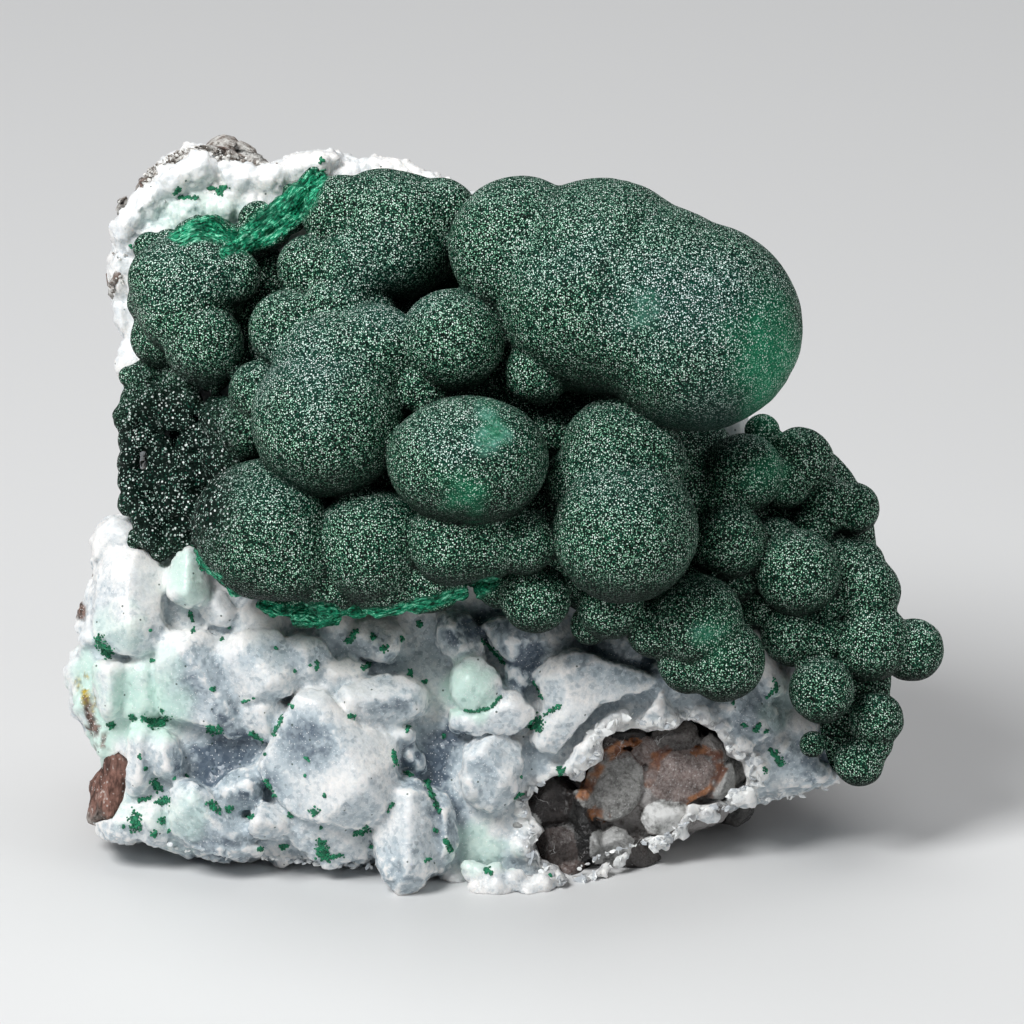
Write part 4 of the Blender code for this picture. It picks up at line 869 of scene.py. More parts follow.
def cutOut(piece, outline, floor, name):
    # Breaks a window through the crust with rough walls, from well in front down to its floor
    edge = ragged(outline, 0.5, 0.5, 17)
    points, triangles = slab(edge, [(out, 0.0) for out in np.linspace(30.0, floor, 60)])
    middle = edge.mean(axis=0)
    spread = 1 + 0.035 * layeredNoise(points * (1, 1, 1.5), 2.2, 23)
    points[:, :2] = middle + (points[:, :2] - middle) * spread[:, None]
    cutter = makePiece(name, toWorld(points), triangles)
    faceOut(cutter)
    window = piece.modifiers.new("window", 'BOOLEAN')
    window.operation = 'DIFFERENCE'
    window.solver = 'MANIFOLD'
    window.object = cutter
    settle(piece)
    bpy.data.objects.remove(cutter)
    return piece


def nearOutline(face, outline):
    # Distance in mm to the outline, seen along the face
    points = np.array(outline, float)
    best = np.full(len(face), 99.0)
    for a, b in zip(points, np.roll(points, -1, axis=0)):
        step = b - a
        t = np.clip((face[:, :2] - a) @ step / (step @ step), 0, 1)
        best = np.minimum(best, np.linalg.norm(face[:, :2] - a - t[:, None] * step, axis=1))
    return best


def growQuartz(values):
    # The curved slab, the crystals on it and the round lumps, as overlapping shapes
    base, triangles = slab(ragged(values["outline"], 0.4, 0.35, 19), values["profile"])
    for k in range(2):
        base[:, k] += 1.1 * layeredNoise(base * (1, 1, 1.2), 4.0, 27 + k)
    shapes = [(curveBack(base), triangles)]
    level = values["profile"][0][0]
    for k, (first, second, drop, outline) in enumerate(values["blocks"]):
        ends = [(right, up, level + (out - level) * values["height"]) for right, up, out in (first, second)]
        shapes.append(block(*ends, drop * values["height"], outline, seed=100 + k))
    directions, triangles = ball(16, 24)
    for right, up, out, radius in values["lumps"]:
        shapes.append((np.array([right, up, out]) + directions * radius, triangles))
    return shapes


def roughenQuartz(piece, values):
    # Works grain into the skin: a little on the crystals, more on walls, most on the broken rims
    face, normals = corners(piece)
    hollow = hollowness(piece, 25)
    edge = cellNoise(face, 2.4, 81)[1]
    _, tinyEdge, tinyOwner = cellNoise(face, 1.1, 82)
    crumb = smooth(tinyEdge, 0.0, 0.1)
    rimTop = smooth(face[:, 1], *values["rimTop"])
    wall = np.maximum(1 - smooth(np.abs(normals[:, 2]), 0.25, 0.6), rimTop)
    swell = 0.14 * layeredNoise(face, 4.0, 83) + 0.03 * layeredNoise(face, 1.3, 87, 2)
    swell += 0.03 * smooth(edge, 0.0, 0.35) - 0.1 * smooth(hollow, 0.0, 0.3)
    swell += wall * (0.22 * layeredNoise(face, 2.6, 89, 2) + 0.18 * smooth(edge, 0.0, 0.3) - 0.1)
    swell += (0.02 + 0.14 * wall + 0.22 * rimTop) * tinyOwner * smooth(tinyEdge, 0.0, 0.3)
    lowerEdge = [(*place, 1.4) for place in values["outline"][values["lowerEdge"]]]
    jagged = nearLine(face, lowerEdge) * smooth(face[:, 2], -3.0, 0.0)
    swell += jagged * (0.2 * (tinyOwner - 0.4) * crumb + 0.45 * layeredNoise(face, 2.2, 105, 2))
    crusty = 1 - smooth(nearOutline(face, values["window"]), 0.6, 2.4)
    swell += crusty * (0.6 * (tinyOwner - 0.5) * crumb + 0.35 * layeredNoise(face, 2.0, 99, 2))
    front = smooth(face[:, 2], -6.5, -4.5)
    moveCorners(piece, face + normals * (swell * front)[:, None])


def paintQuartz(piece, values):
    # Blue-grey inside and slate-blue patches, whiter on edges, at the window's rim and at the top; painted
    # shade: bluer in hollows and on faces turned down, whiter on faces turned up
    face, normals = corners(piece)
    hollow = hollowness(piece, 25)
    away = nearOutline(face, values["window"])
    rim = 1 - smooth(away, 0.5, 1.6)
    # the slate patches, with painted shade: bluer in hollows, bluer on faces turned down and whiter on faces
    # turned up
    blueAndShade = blots(face, **values["slate"]) + 0.3 * smooth(hollow, -0.05, 0.4)
    blueAndShade = blueAndShade + 0.16 + 0.26 * (0.2 - normals[:, 1]) + 0.16 * layeredNoise(face, 5.0, 93)
    blueAndShade = np.clip(blueAndShade, 0, 1) * (1 - 0.85 * rim) * (1 - 0.6 * smooth(-hollow, 0.1, 0.4))
    blueAndShade = blueAndShade * (1 - 0.8 * smooth(-hollowness(piece, 6), 0.015, 0.07))
    blueAndShade = blueAndShade * (1 - smooth(face[:, 1], *values["whiteAbove"]) * 0.65)
    paint(piece, {
        "blueAndShade": np.clip(blueAndShade, 0, 1),
        "mint": np.clip(blots(face, **values["mint"]), 0, 1),
        "ochre": blots(face, **values["ochre"]),
        "brown": blots(face, **values["brown"]),
        "veil": smooth(layeredNoise(face, 3.0, 109), -0.5, 0.5),
        "shade": cellNoise(face, 0.9, 107)[2],
        "broken": 1 - smooth(away, 0.7, 2.0),
    })


def makeQuartz(finish):
    # All of it in one skin, with raised valleys and grain, and with the break and the bare patch cut out
    values = quartz
    piece = fuse(shapesPiece("quartz_frost", growQuartz(values)), values["grain"], values["soften"])
    for _ in range(values["fills"]):
        # Raises the valleys between the crystals, and leaves their edges alone
        face, normals = corners(piece)
        rise = np.clip(hollowness(piece, 30) - 0.05, 0, 0.7) * smooth(face[:, 2], 0.0, 2.0)
        moveCorners(piece, face + normals * rise[:, None])
    roughenQuartz(piece, values)
    cutOut(piece, values["window"], values["windowFloor"], "window")
    cutOut(piece, values["patch"], values["patchFloor"], "patch")
    thin(piece, values["triangles"])
    paintQuartz(piece, values)
    return finishPiece(piece, finish, "quartz", "quartz_crust")


# Smoky quartz in the break
smoky = {
    "grain": 0.22, "triangles": 140000,
    # the stones behind: middle, half sizes, number of faces, seed, and how pale, brown and white they are
    "stones": [
        ((16.0, 14.0, -3.4), (11.6, 7.8, 6.8), 40, 3, 0.35, 0.35, 0.3),
        ((7.4, 8.8, -2.6), (5.4, 6.6, 6.2), 24, 44, 0.05, 0.1, 0.15),
        ((26.0, 16.6, -4.0), (4.4, 4.8, 6.4), 24, 45, 0.45, 0.1, 0.5),
        ((5.9, 12.4, 1.6), (4.4, 3.4, 3.6), 9, 51, 0.0, 0.05, 0.0),
        ((9.4, 11.6, 1.0), (2.8, 3.0, 3.9), 8, 52, 0.04, 0.0, 0.0),
        ((10.2, 8.4, 0.8), (2.2, 3.4, 3.9), 8, 53, 0.0, 0.0, 0.0),
        ((6.8, 7.4, 0.9), (3.4, 3.2, 3.7), 9, 57, 0.05, 0.2, 0.0),
        ((7.8, 4.8, 0.4), (2.8, 1.9, 3.2), 8, 55, 0.1, 0.5, 0.0),
        ((3.9, 10.4, 0.9), (2.0, 2.6, 3.6), 8, 56, 0.0, 0.0, 0.0),
        ((15.8, 6.4, 0.2), (3.4, 2.2, 3.2), 10, 41, 0.1, 0.1, 0.0),
        ((29.4, 11.9, -9.0), (2.2, 2.6, 4.0), 16, 42, 0.2, 0.05, 0.0),
        ((25.0, 12.4, -8.5), (4.5, 2.4, 3.4), 16, 43, 0.3, 0.1, 0.0),
    ],
    # the broken faces: both ends of the crest, the fall, how pale, brown and white, and the outline
    "steeper": 1.3,
    "faces": [
        ((12.6, 16.2, 4.8), (14.9, 13.6, 4.6), 0.9, 0.8, 0.05, 0,
         [(9.9, 14.6), (10.4, 16.9), (11.9, 18.5), (14.1, 19.5), (15.9, 19.1), (17.2, 17.5), (17.5, 15.0),
          (16.6, 12.5), (15.0, 10.9), (13.1, 10.2), (11.2, 10.9), (10.1, 12.5)]),
        ((20.9, 16.2, 4.2), (24.6, 16.2, 3.6), 0.9, 0.55, 0.75, 0,
         [(17.5, 15.0), (18.1, 17.5), (20.0, 19.2), (23.1, 19.6), (25.9, 19.1), (27.4, 17.9), (26.9, 15.6),
          (25.4, 13.8), (23.1, 12.6), (20.6, 12.4), (18.8, 13.1)]),
        ((12.4, 19.1, 4.2), (14.6, 20.4, 4.2), 1.0, 0.35, 0.35, 0,
         [(10.6, 16.6), (11.5, 19.1), (13.4, 20.9), (15.4, 21.0), (16.1, 20.0), (14.1, 19.5),
          (11.9, 18.5)]),
        ((12.6, 7.4, 4.2), (14.4, 7.9, 4.0), 1.2, 0.6, 0.0, 0.35,
         [(10.9, 4.9), (11.1, 7.1), (12.1, 9.0), (13.6, 9.9), (15.4, 9.1), (15.9, 7.5), (14.1, 6.0),
          (12.1, 5.0)]),
        ((20.1, 20.9, 4.2), (23.1, 21.4, 4.0), 1.4, 0.25, 0.15, 0,
         [(17.9, 19.6), (18.4, 21.5), (20.4, 22.2), (22.6, 23.1), (24.1, 22.2), (24.6, 20.4), (23.1, 19.4),
          (20.4, 19.1)]),
        ((17.4, 19.6, 4.2), (18.1, 18.6, 4.0), 1.0, 0.35, 0.6, 0,
         [(15.9, 19.6), (17.2, 21.0), (18.4, 20.4), (19.6, 19.1), (18.1, 17.1), (17.0, 17.6)]),
        ((25.9, 20.2, 4.0), (26.9, 18.8, 3.6), 1.2, 0.4, 0.25, 0.1,
         [(24.4, 20.1), (25.9, 21.5), (27.4, 20.1), (28.1, 18.1), (27.1, 17.4), (25.4, 18.9)]),
        ((27.9, 16.4, 3.2), (27.1, 14.0, 3.0), 1.2, 0.7, 0.0, 0.3,
         [(27.1, 17.1), (28.5, 17.6), (29.1, 15.9), (28.9, 13.8), (27.1, 13.1), (25.4, 13.1),
          (26.6, 15.1)]),
        ((13.5, 21.2, 3.8), (16.6, 21.4, 3.8), 1.0, 0.0, 0.0, 0,
         [(11.9, 20.2), (13.1, 21.8), (15.6, 22.0), (17.9, 21.8), (17.6, 20.6), (15.6, 20.9),
          (13.4, 20.6)]),
        ((18.8, 10.9, 4.2), (21.6, 11.2, 3.8), 1.4, 0.85, 0.0, 0.9,
         [(16.9, 10.4), (17.4, 12.1), (19.1, 12.6), (21.4, 12.4), (23.1, 12.6), (23.4, 11.4), (22.1, 9.6),
          (19.9, 8.4), (17.9, 8.6)]),
        ((1.4, 9.9, 6.6), (2.9, 9.4, 6.4), 1.4, 0.75, 0.0, 0.3,
         [(0.1, 9.1), (0.9, 10.9), (2.4, 11.4), (3.9, 10.6), (4.4, 8.8), (3.1, 7.9), (1.4, 8.1)]),
    ],
    # the rusty seams, as lines (right, up, half width), painted wider by this factor
    "rustWidth": 1.5,
    "rust": [
        [(9.8, 13.6, 0.5), (11.0, 16.4, 0.6), (12.4, 18.4, 0.6), (14.4, 19.6, 0.5), (16.6, 20.2, 0.3)],
        [(18.0, 15.0, 0.4), (19.0, 18.4, 0.5), (20.6, 19.4, 0.3)],
        [(24.0, 19.4, 0.25), (26.6, 18.8, 0.35), (27.2, 16.8, 0.4), (26.0, 14.4, 0.35), (23.0, 12.8, 0.25)],
        [(11.2, 11.6, 0.5), (12.4, 10.8, 0.4)],
    ],
}


def makeSmoky(finish):
    # Stones and broken faces in one skin, each point with the tone of the stone that it belongs to
    values = smoky
    shapes, tones = [], []
    for middle, sizes, faces, seed, *tone in values["stones"]:
        shapes.append(stone(middle, sizes, faces, seed, 60))
        tones.append((middle, sizes, tone))
    for k, (first, second, drop, *tone, outline) in enumerate(values["faces"]):
        shapes.append(block(first, second, drop * values["steeper"], outline, -6.0, 1.0, 300 + k))
        edge = np.array(outline)
        middle = (*edge.mean(axis=0), (first[2] + second[2]) / 2 - 1)
        sizes = (*((edge.max(axis=0) - edge.min(axis=0)) / 2), 6.0)
        tones.append((middle, sizes, tone))
    piece = fuse(shapesPiece("smoky_crystals", shapes), values["grain"], 1)
    face, normals = corners(piece)
    _, edge, owner = cellNoise(face, 1.6, 141)
    swell = 0.1 * layeredNoise(face, 1.5, 143) + 0.22 * (owner - 0.5) * smooth(edge, 0.0, 0.15)
    moveCorners(piece, face + normals * swell[:, None])
    thin(piece, values["triangles"])
    face = corners(piece)[0]
    nearest, mixed = np.full(len(face), 9.0), np.zeros((3, len(face)))
    for middle, sizes, tone in tones:
        far = np.linalg.norm((face - middle) / sizes, axis=1)
        mixed = np.where(far < nearest, np.array(tone, float)[:, None], mixed)
        nearest = np.minimum(nearest, far)
    strayed = face + layeredNoise(face, 1.0, 61)[:, None] * 0.4
    lines = [[(right, up, half * values["rustWidth"]) for right, up, half in line] for line in values["rust"]]
    rust = np.max([nearLine(strayed, line) for line in lines], axis=0)
    paint(piece, {
        "pale": mixed[0],
        "brown": mixed[1],
        "white": mixed[2],
        "rust": rust * smooth(layeredNoise(face, 1.8, 63), -0.9, 0.0),
        "seam": smooth(hollowness(piece, 8), 0.03, 0.16),
    })
    return finishPiece(piece, finish, "smoky_quartz", "smoky_quartz")


# Matrix rock
rock = {
    "grain": 0.55, "triangles": 180000,
    # how far the skin stands out from the frame's shape, how far it swells beyond that at most, and its cells
    "closeUp": 0.3, "most": 0.25, "cells": (5.0, 181),
    # the bare patch at the left: both ends of its crest (right, up, out), its fall, and its outline
    "bare": ((-49.2, 12.6, 4.6), (-48.6, 17.6, 5.0), 1.2,
             [(-52.4, 10.4), (-51.4, 14.0), (-50.4, 17.4), (-49.2, 19.8), (-47.2, 18.8), (-47.0, 15.0),
              (-48.0, 11.6), (-49.6, 9.8)]),
    "rust": {"seed": 187, "ragged": 0.6, "rows": [(-49.6, 14.5, 3.6, 6.0, 1.0)]},
}


def rimGrains():
    # Coarse stones along the rock's rim
    random = np.random.default_rng(41)
    grains = []
    for line, count in chips["rockRim"]:
        for _ in range(count // 8):
            right, up = spotOn(line, random.uniform(0, 1)) - (0, 0.5)
            size = random.uniform(0.6, 1.3, 3)
            place = (right, up, random.uniform(-3.0, 4.5))
            grains.append(stone(place, size, 12, int(random.integers(1e6)), 16, 8, 12))
    return grains


def makeRock(finish):
    # The rock keeps the frame's own shape, with finer breaks and grains worked into its skin
    values = rock
    shape = bmesh.new()
    shape.from_mesh(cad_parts["matrix_rock"].data)
    bmesh.ops.remove_doubles(shape, verts=shape.verts[:], dist=1e-6)
    for name, added in (("bare_patch", [block(*values["bare"], seed=7)]), ("rim_grains", rimGrains())):
        part = shapesPiece(name, added)
        shape.from_mesh(part.data)
        bpy.data.objects.remove(part)
    piece = makePiece("matrix_stone", [], [])
    shape.to_mesh(piece.data)
    shape.free()
    fuse(piece, values["grain"], 2)
    face, normals = corners(piece)
    _, edge, owner = cellNoise(face, *values["cells"])
    _, fineEdge, fineOwner = cellNoise(face, 1.9, 183)
    _, broadEdge, broadOwner = cellNoise(face + layeredNoise(face, 6.0, 191)[:, None], 13.0, 189)
    swell = 0.5 * layeredNoise(face, 6.0, 185, 4) + 0.8 * (owner - 0.6) * smooth(edge, 0.0, 0.2)
    swell += 1.6 * (broadOwner - 0.75) * smooth(broadEdge, 0.0, 0.12)
    swell += 0.5 - 2.4 * np.abs(layeredNoise(face, 17.0, 195, 3))
    swell += 0.35 * (fineOwner - 0.5) * smooth(fineEdge, 0.0, 0.25)
    swell = np.minimum(swell, values["most"])
    offTable = smooth(toWorld(face)[:, 2], 0.0, 0.0015)
    moveCorners(piece, face + normals * (values["closeUp"] + (swell - 0.2) * offTable)[:, None])
    thin(piece, values["triangles"])
    face = corners(piece)[0]
    rim = np.max([nearLine(face, [(*place, 2.6) for place in line]) for line, _ in chips["rockRim"]], axis=0)
    paint(piece, {
        "crack": 1 - smooth(cellNoise(face, *values["cells"])[1], 0.0, 0.12),
        "rust": blots(face, **values["rust"]),
        "rim": rim * smooth(face[:, 2], -6.0, -3.0),
    })
    return finishPiece(piece, finish, "matrix_rock", "matrix_rock")


# Green flecks on the quartz
flecks = {
    # how many crystals per mm2, their sizes, and how far they stray from a stroke as a share of its width
    "density": 42, "sizes": (0.09, 0.2), "stray": 0.32,
    # strokes and dots of little green crystals: both ends or the one place (right, up), and the width
    "strokes": [
        (-50.8, 33.0, -49.5, 31.2, 1.12), (-44.4, 34.3, 0.25), (-39.0, 34.3, 0.38), (-35.4, 33.2, 0.31),
        (-44.1, 30.5, 0.38), (-49.7, 22.2, -49.1, 22.5, 0.62), (-47.0, 23.6, -46.4, 23.2, 0.62),
        (-45.1, 23.2, -44.1, 22.5, 0.75), (-44.1, 22.5, -42.2, 23.2, 0.75), (-43.0, 24.2, 0.38),
        (-36.5, 27.0, 0.50), (-37.1, 22.0, -35.8, 21.7, 0.88), (-31.9, 21.5, -31.4, 21.2, 0.50),
        (-31.3, 25.9, -32.9, 25.3, 0.19), (-45.8, 18.6, -45.8, 18.4, 0.31), (-45.1, 17.2, -44.9, 16.8, 0.25),
        (-44.1, 15.3, -43.4, 14.4, 0.88), (-45.9, 13.0, -44.5, 13.3, 0.38), (-43.6, 12.7, -42.0, 12.9, 0.75),
        (-46.5, 11.1, -46.2, 9.4, 1.25), (-47.8, 9.8, 0.25), (-43.0, 10.4, 0.75),
        (-44.3, 8.7, -43.6, 8.9, 0.50), (-42.0, 9.4, -42.2, 9.0, 0.25), (-37.1, 12.9, -35.8, 11.7, 0.62),
        (-34.5, 11.9, 0.75), (-32.3, 10.8, -31.3, 11.1, 0.38), (-41.4, 15.8, 0.25), (-39.9, 16.1, 0.25),
        (-30.8, 6.9, 0.38), (-34.6, 34.7, 0.25), (-19.9, 32.7, -18.6, 34.2, 0.62), (-28.7, 32.1, 0.31),
        (-26.3, 29.2, 0.19), (-24.3, 30.0, 0.19), (-23.4, 30.4, -23.6, 29.6, 0.44), (-16.5, 33.5, 0.62),
        (-15.5, 31.9, -14.7, 32.2, 0.50), (-17.6, 29.6, -17.0, 30.1, 0.50), (-12.9, 33.3, 0.38),
        (-10.8, 35.1, 0.62), (-12.0, 29.2, -11.8, 28.6, 0.50), (-10.1, 27.8, 0.44),
        (-19.6, 23.6, -18.8, 23.5, 0.50), (-26.6, 25.0, 0.38), (-27.8, 23.6, -29.0, 21.1, 0.38),
        (-31.9, 21.5, -30.2, 20.3, 0.44), (-30.1, 18.8, 0.31), (-30.0, 15.5, -29.4, 14.7, 0.50),
        (-28.8, 13.7, 0.31), (-25.0, 18.5, -24.2, 17.9, 0.19), (-25.0, 16.2, 0.19), (-22.5, 13.7, 0.38),
        (-24.2, 11.6, -23.4, 11.7, 0.62), (-26.9, 11.2, 0.50), (-23.0, 9.7, 0.31),
        (-23.0, 7.8, -23.0, 6.4, 1.12), (-23.0, 6.4, -22.1, 5.8, 0.75), (-22.1, 5.8, -20.3, 6.2, 0.38),
        (-18.6, 8.9, -17.0, 9.5, 0.62), (-16.8, 7.2, 0.38), (-14.0, 12.8, -14.7, 11.6, 0.25),
        (-14.0, 19.2, -13.6, 17.6, 0.50), (-12.4, 16.5, -11.6, 16.0, 0.38), (-9.9, 15.3, -8.2, 11.6, 0.44),
        (-8.7, 9.3, 0.50), (-9.7, 5.6, 0.62), (-12.2, 22.0, 0.50), (-28.1, 7.0, -27.3, 7.2, 0.50),
        (-30.6, 6.9, 0.50), (-2.8, 33.0, -1.1, 31.4, 0.38), (-1.1, 31.4, 0.1, 30.0, 0.38),
        (-5.2, 24.4, -3.8, 24.2, 0.25), (-3.8, 24.2, -1.7, 24.7, 0.25), (-1.7, 24.7, -0.4, 26.3, 0.25),
        (3.5, 28.1, 4.7, 25.7, 0.25), (3.2, 22.3, 4.5, 23.1, 0.88), (4.1, 22.1, 4.4, 21.9, 0.62),
        (4.7, 23.6, 6.8, 24.9, 0.38), (-7.7, 21.1, 0.44), (-10.1, 27.9, 0.38), (-9.7, 15.5, -9.2, 13.2, 0.38),
        (6.8, 17.1, 7.1, 16.3, 0.62), (4.7, 14.8, 6.1, 15.3, 0.50), (2.0, 15.9, 0.25), (1.8, 13.6, 0.38),
        (15.4, 20.0, 17.1, 20.5, 0.62), (33.3, 19.3, 34.8, 17.4, 0.75), (32.7, 16.8, 0.50),
        (31.4, 21.7, 31.9, 22.5, 0.50), (30.0, 22.4, 0.38), (32.8, 21.7, 0.38),
        (32.8, 25.8, 33.8, 26.9, 0.31), (28.6, 25.2, 0.38), (33.8, 28.1, 34.1, 26.6, 0.38),
        (2.2, 13.8, 1.3, 13.3, 0.38), (5.7, 3.6, 0.38), (15.9, 8.0, 0.62), (-2.5, 4.4, -1.6, 3.9, 0.62),
        (-7.5, 8.1, -6.6, 6.6, 0.50), (-41.4, 88.9, -40.6, 89.9, 0.38), (-40.9, 88.5, -38.4, 88.5, 0.38),
        (-37.4, 89.6, -36.4, 89.8, 0.31), (-36.1, 89.0, -35.1, 89.9, 0.75), (-23.0, 93.5, -23.0, 92.9, 0.44),
        (-22.8, 91.9, -22.5, 91.1, 0.44), (-47.0, 82.6, -46.9, 82.2, 0.25), (-47.6, 49.6, -46.5, 48.6, 0.75),
        (-47.2, 49.1, -46.9, 48.6, 0.62), (-39.6, 36.6, -39.1, 35.4, 0.31),
    ],
}


def skinTree(piece):
    # The piece's skin, made ready for lines to be shot at it
    return BVHTree.FromObject(piece, bpy.context.evaluated_depsgraph_get())


def rayDown(tree, right, up):
    # Where a line from the viewer meets the skin, and the skin's normal there, on the face
    start = toWorld([right, up, 60.0])
    aim = toWorld([right, up, 0.0]) - start
    hit, normal, _, _ = tree.ray_cast(Vector(start), Vector(aim / np.linalg.norm(aim)))
    if hit is None:
        return None, None
    return toFace(np.array(hit)), turned(np.array(normal))


def makeFlecks(finish, tree):
    # Little crystals scattered about each stroke, each laid on the skin that the viewer sees there
    random = np.random.default_rng(5)
    shapes = []
    for *ends, width in flecks["strokes"]:
        start, end = np.array(ends[:2]), np.array(ends[-2:])
        length = math.hypot(*(end - start))
        for _ in range(int(6 + flecks["density"] * width * (length + width))):
            place = start + (end - start) * random.uniform(0, 1)
            spot, normal = rayDown(tree, *(place + random.normal(size=2) * width * flecks["stray"]))
            if spot is None:
                continue
            size = random.uniform(*flecks["sizes"])
            points, triangles = stone((0, 0, 0), (size, size, size), 9, int(random.integers(1e6)), 16, 4, 6)
            shapes.append((points + spot + normal * size * 0.2, triangles))
    finishPiece(shapesPiece("green_flecks", shapes), finish, "malachite")


# Splinters along the broken edges
chips = {
    # how many, how far out from the window's edge and how much further they stray, and their sizes
    "window": (260, 0.35, 0.6, (0.3, 1.1)), "deepest": -4,
    # how many, how far they stray, their sizes, and how high above the table they start, in metres
    "lowerEdge": (260, 0.15, (0.2, 0.5)), "aboveTable": 0.0006,
    "plate": (1.2, 0.75, 0.28),
    # lines of rock (right, up), and how many splinters each carries
    "rockRim": [
        ([(-45.6, 90.0), (-44.6, 91.6), (-43.0, 92.9), (-41.1, 93.9), (-39.1, 94.5), (-37.1, 94.5),
          (-35.4, 94.0), (-33.6, 93.4), (-32.1, 92.8), (-30.4, 92.4), (-28.6, 92.5)], 1100),
        ([(-25.6, 93.6), (-24.1, 94.0), (-22.1, 93.9)], 160),
        ([(-47.9, 86.2), (-46.9, 87.4), (-46.2, 88.0)], 150),
        ([(-49.2, 77.1), (-49.2, 78.8), (-48.8, 80.4), (-48.7, 81.6)], 160),
    ],
    # the splinters stray from the rim towards a middle (right, up), and stand between these outs
    "rimMiddle": (-38.0, 80.0), "rimStray": (-0.5, 1.4), "rimOut": (-1.0, 5.0), "rimSizes": (0.12, 0.42),
}


def spotOn(line, t):
    # The point at a share t of a line's length
    points = np.array(line, float)
    lengths = np.linalg.norm(np.diff(points, axis=0), axis=1)
    ends = np.concatenate([[0], np.cumsum(lengths)]) / lengths.sum()
    return np.array([np.interp(t, ends, points[:, k]) for k in range(2)])


def makeQuartzChips(finish, tree):
    # Plates of quartz round the window, each pushed outwards onto the skin, and small ones on the lower edge
    random = np.random.default_rng(31)
    shapes = []
    closed = quartz["window"] + quartz["window"][:1]
    count, away, stray, sizes = chips["window"]
    middle = np.mean(quartz["window"], axis=0)
    for _ in range(count):
        place = spotOn(closed, random.uniform(0, 1))
        place += (place - middle) / np.linalg.norm(place - middle) * (away + abs(random.normal()) * stray)
        spot, _ = rayDown(tree, *place)
        if spot is None or spot[2] < chips["deepest"]:
            continue
        size = (sizes[0] + (sizes[1] - sizes[0]) * random.uniform() ** 2) * np.array(chips["plate"])
        shapes.append(chip(spot, size, random))
    count, stray, sizes = chips["lowerEdge"]
    edge = quartz["outline"][quartz["lowerEdge"]][:-1]
    for _ in range(count):
        place = spotOn(edge, random.uniform(0, 1)) + random.normal(size=2) * stray
        size = random.uniform(*sizes) * np.array(chips["plate"])
        spot = curveBack(np.array([[*place, random.uniform(2, 6)]]))[0]
        if toWorld(spot)[2] > chips["aboveTable"]:
            shapes.append(chip(spot, size, random))
    piece = chipsPiece("quartz_splinters", shapes, random.uniform(0, 1, len(shapes)))
    return finishPiece(piece, finish, "quartz", flat=True)


def makeRockChips(finish):
    # Splinters of rock strewn from the rim towards the middle of the top left
    random = np.random.default_rng(37)
    shapes = []
    for line, count in chips["rockRim"]:
        for _ in range(count):
            place = spotOn(line, random.uniform(0, 1))
            inward = np.array(chips["rimMiddle"]) - place
            place = place + inward / np.linalg.norm(inward) * random.uniform(*chips["rimStray"])
            size = random.uniform(*chips["rimSizes"]) * random.uniform(0.5, 1.1, 3)
            shapes.append(chip((*place, random.uniform(*chips["rimOut"])), size, random))
    piece = chipsPiece("rock_splinters", shapes, random.uniform(0, 1, len(shapes)))
    return finishPiece(piece, finish, "matrix_rock", flat=True)


# Finishes: colours are mixed from what was painted on the points and from noise, with sizes in mm


def feed(tree, node, inputs):
    # Links a given socket to its input, and sets any other value
    for key, value in inputs.items():
        if isinstance(value, bpy.types.NodeSocket):
            tree.links.new(value, node.inputs[key])
        else:
            node.inputs[key].default_value = value


def put(tree, kind, inputs=(), **settings):
    # Adds a node with its settings and inputs
    made = tree.nodes.new("ShaderNode" + kind)
    for key, value in settings.items():
        setattr(made, key, value)
    feed(tree, made, dict(inputs))
    return made


def sums(tree, operation, first, second=0.0, clamp=False):
    # One step of arithmetic on two numbers
    return put(tree, "Math", {0: first, 1: second}, operation=operation, use_clamp=clamp).outputs[0]


def times(tree, first, second):
    # The product of two numbers
    return sums(tree, 'MULTIPLY', first, second)


def vectors(tree, operation, first, second):
    # One step of arithmetic on two vectors
    return put(tree, "VectorMath", {0: first, 1: second}, operation=operation).outputs[0]


def ramp(tree, value, low, high, start=0.0, end=1.0):
    # Turns a stretch of values into an even S-curve from start to end
    inputs = {"Value": value, 1: low, 2: high, 3: start, 4: end}
    return put(tree, "MapRange", inputs, interpolation_type='SMOOTHSTEP').outputs[0]


def blend(tree, factor, first, second):
    # The first colour at factor 0, the second at 1
    ends = [end if isinstance(end, bpy.types.NodeSocket) else (*end, 1.0) for end in (first, second)]
    return put(tree, "Mix", {0: factor, 6: ends[0], 7: ends[1]}, data_type='RGBA').outputs[2]


def here(tree):
    # The place on the object, in metres
    return put(tree, "TexCoord").outputs["Object"]


def grain(tree, size, detail=3.0, roughness=0.55, place=None):
    # Soft noise, with its size in mm
    inputs = {"Vector": place or here(tree), "Scale": 1000.0 / size, "Detail": detail, "Roughness": roughness}
    return put(tree, "TexNoise", inputs).outputs["Fac"]


def painted(tree, name):
    # What was painted on the points under this name
    return put(tree, "Attribute", attribute_name=name).outputs["Fac"]


def newFinish(name):
    # A material, its node tree and its shader
    finish = bpy.data.materials.new(name)
    finish.use_nodes = True
    return finish, finish.node_tree, finish.node_tree.nodes["Principled BSDF"]


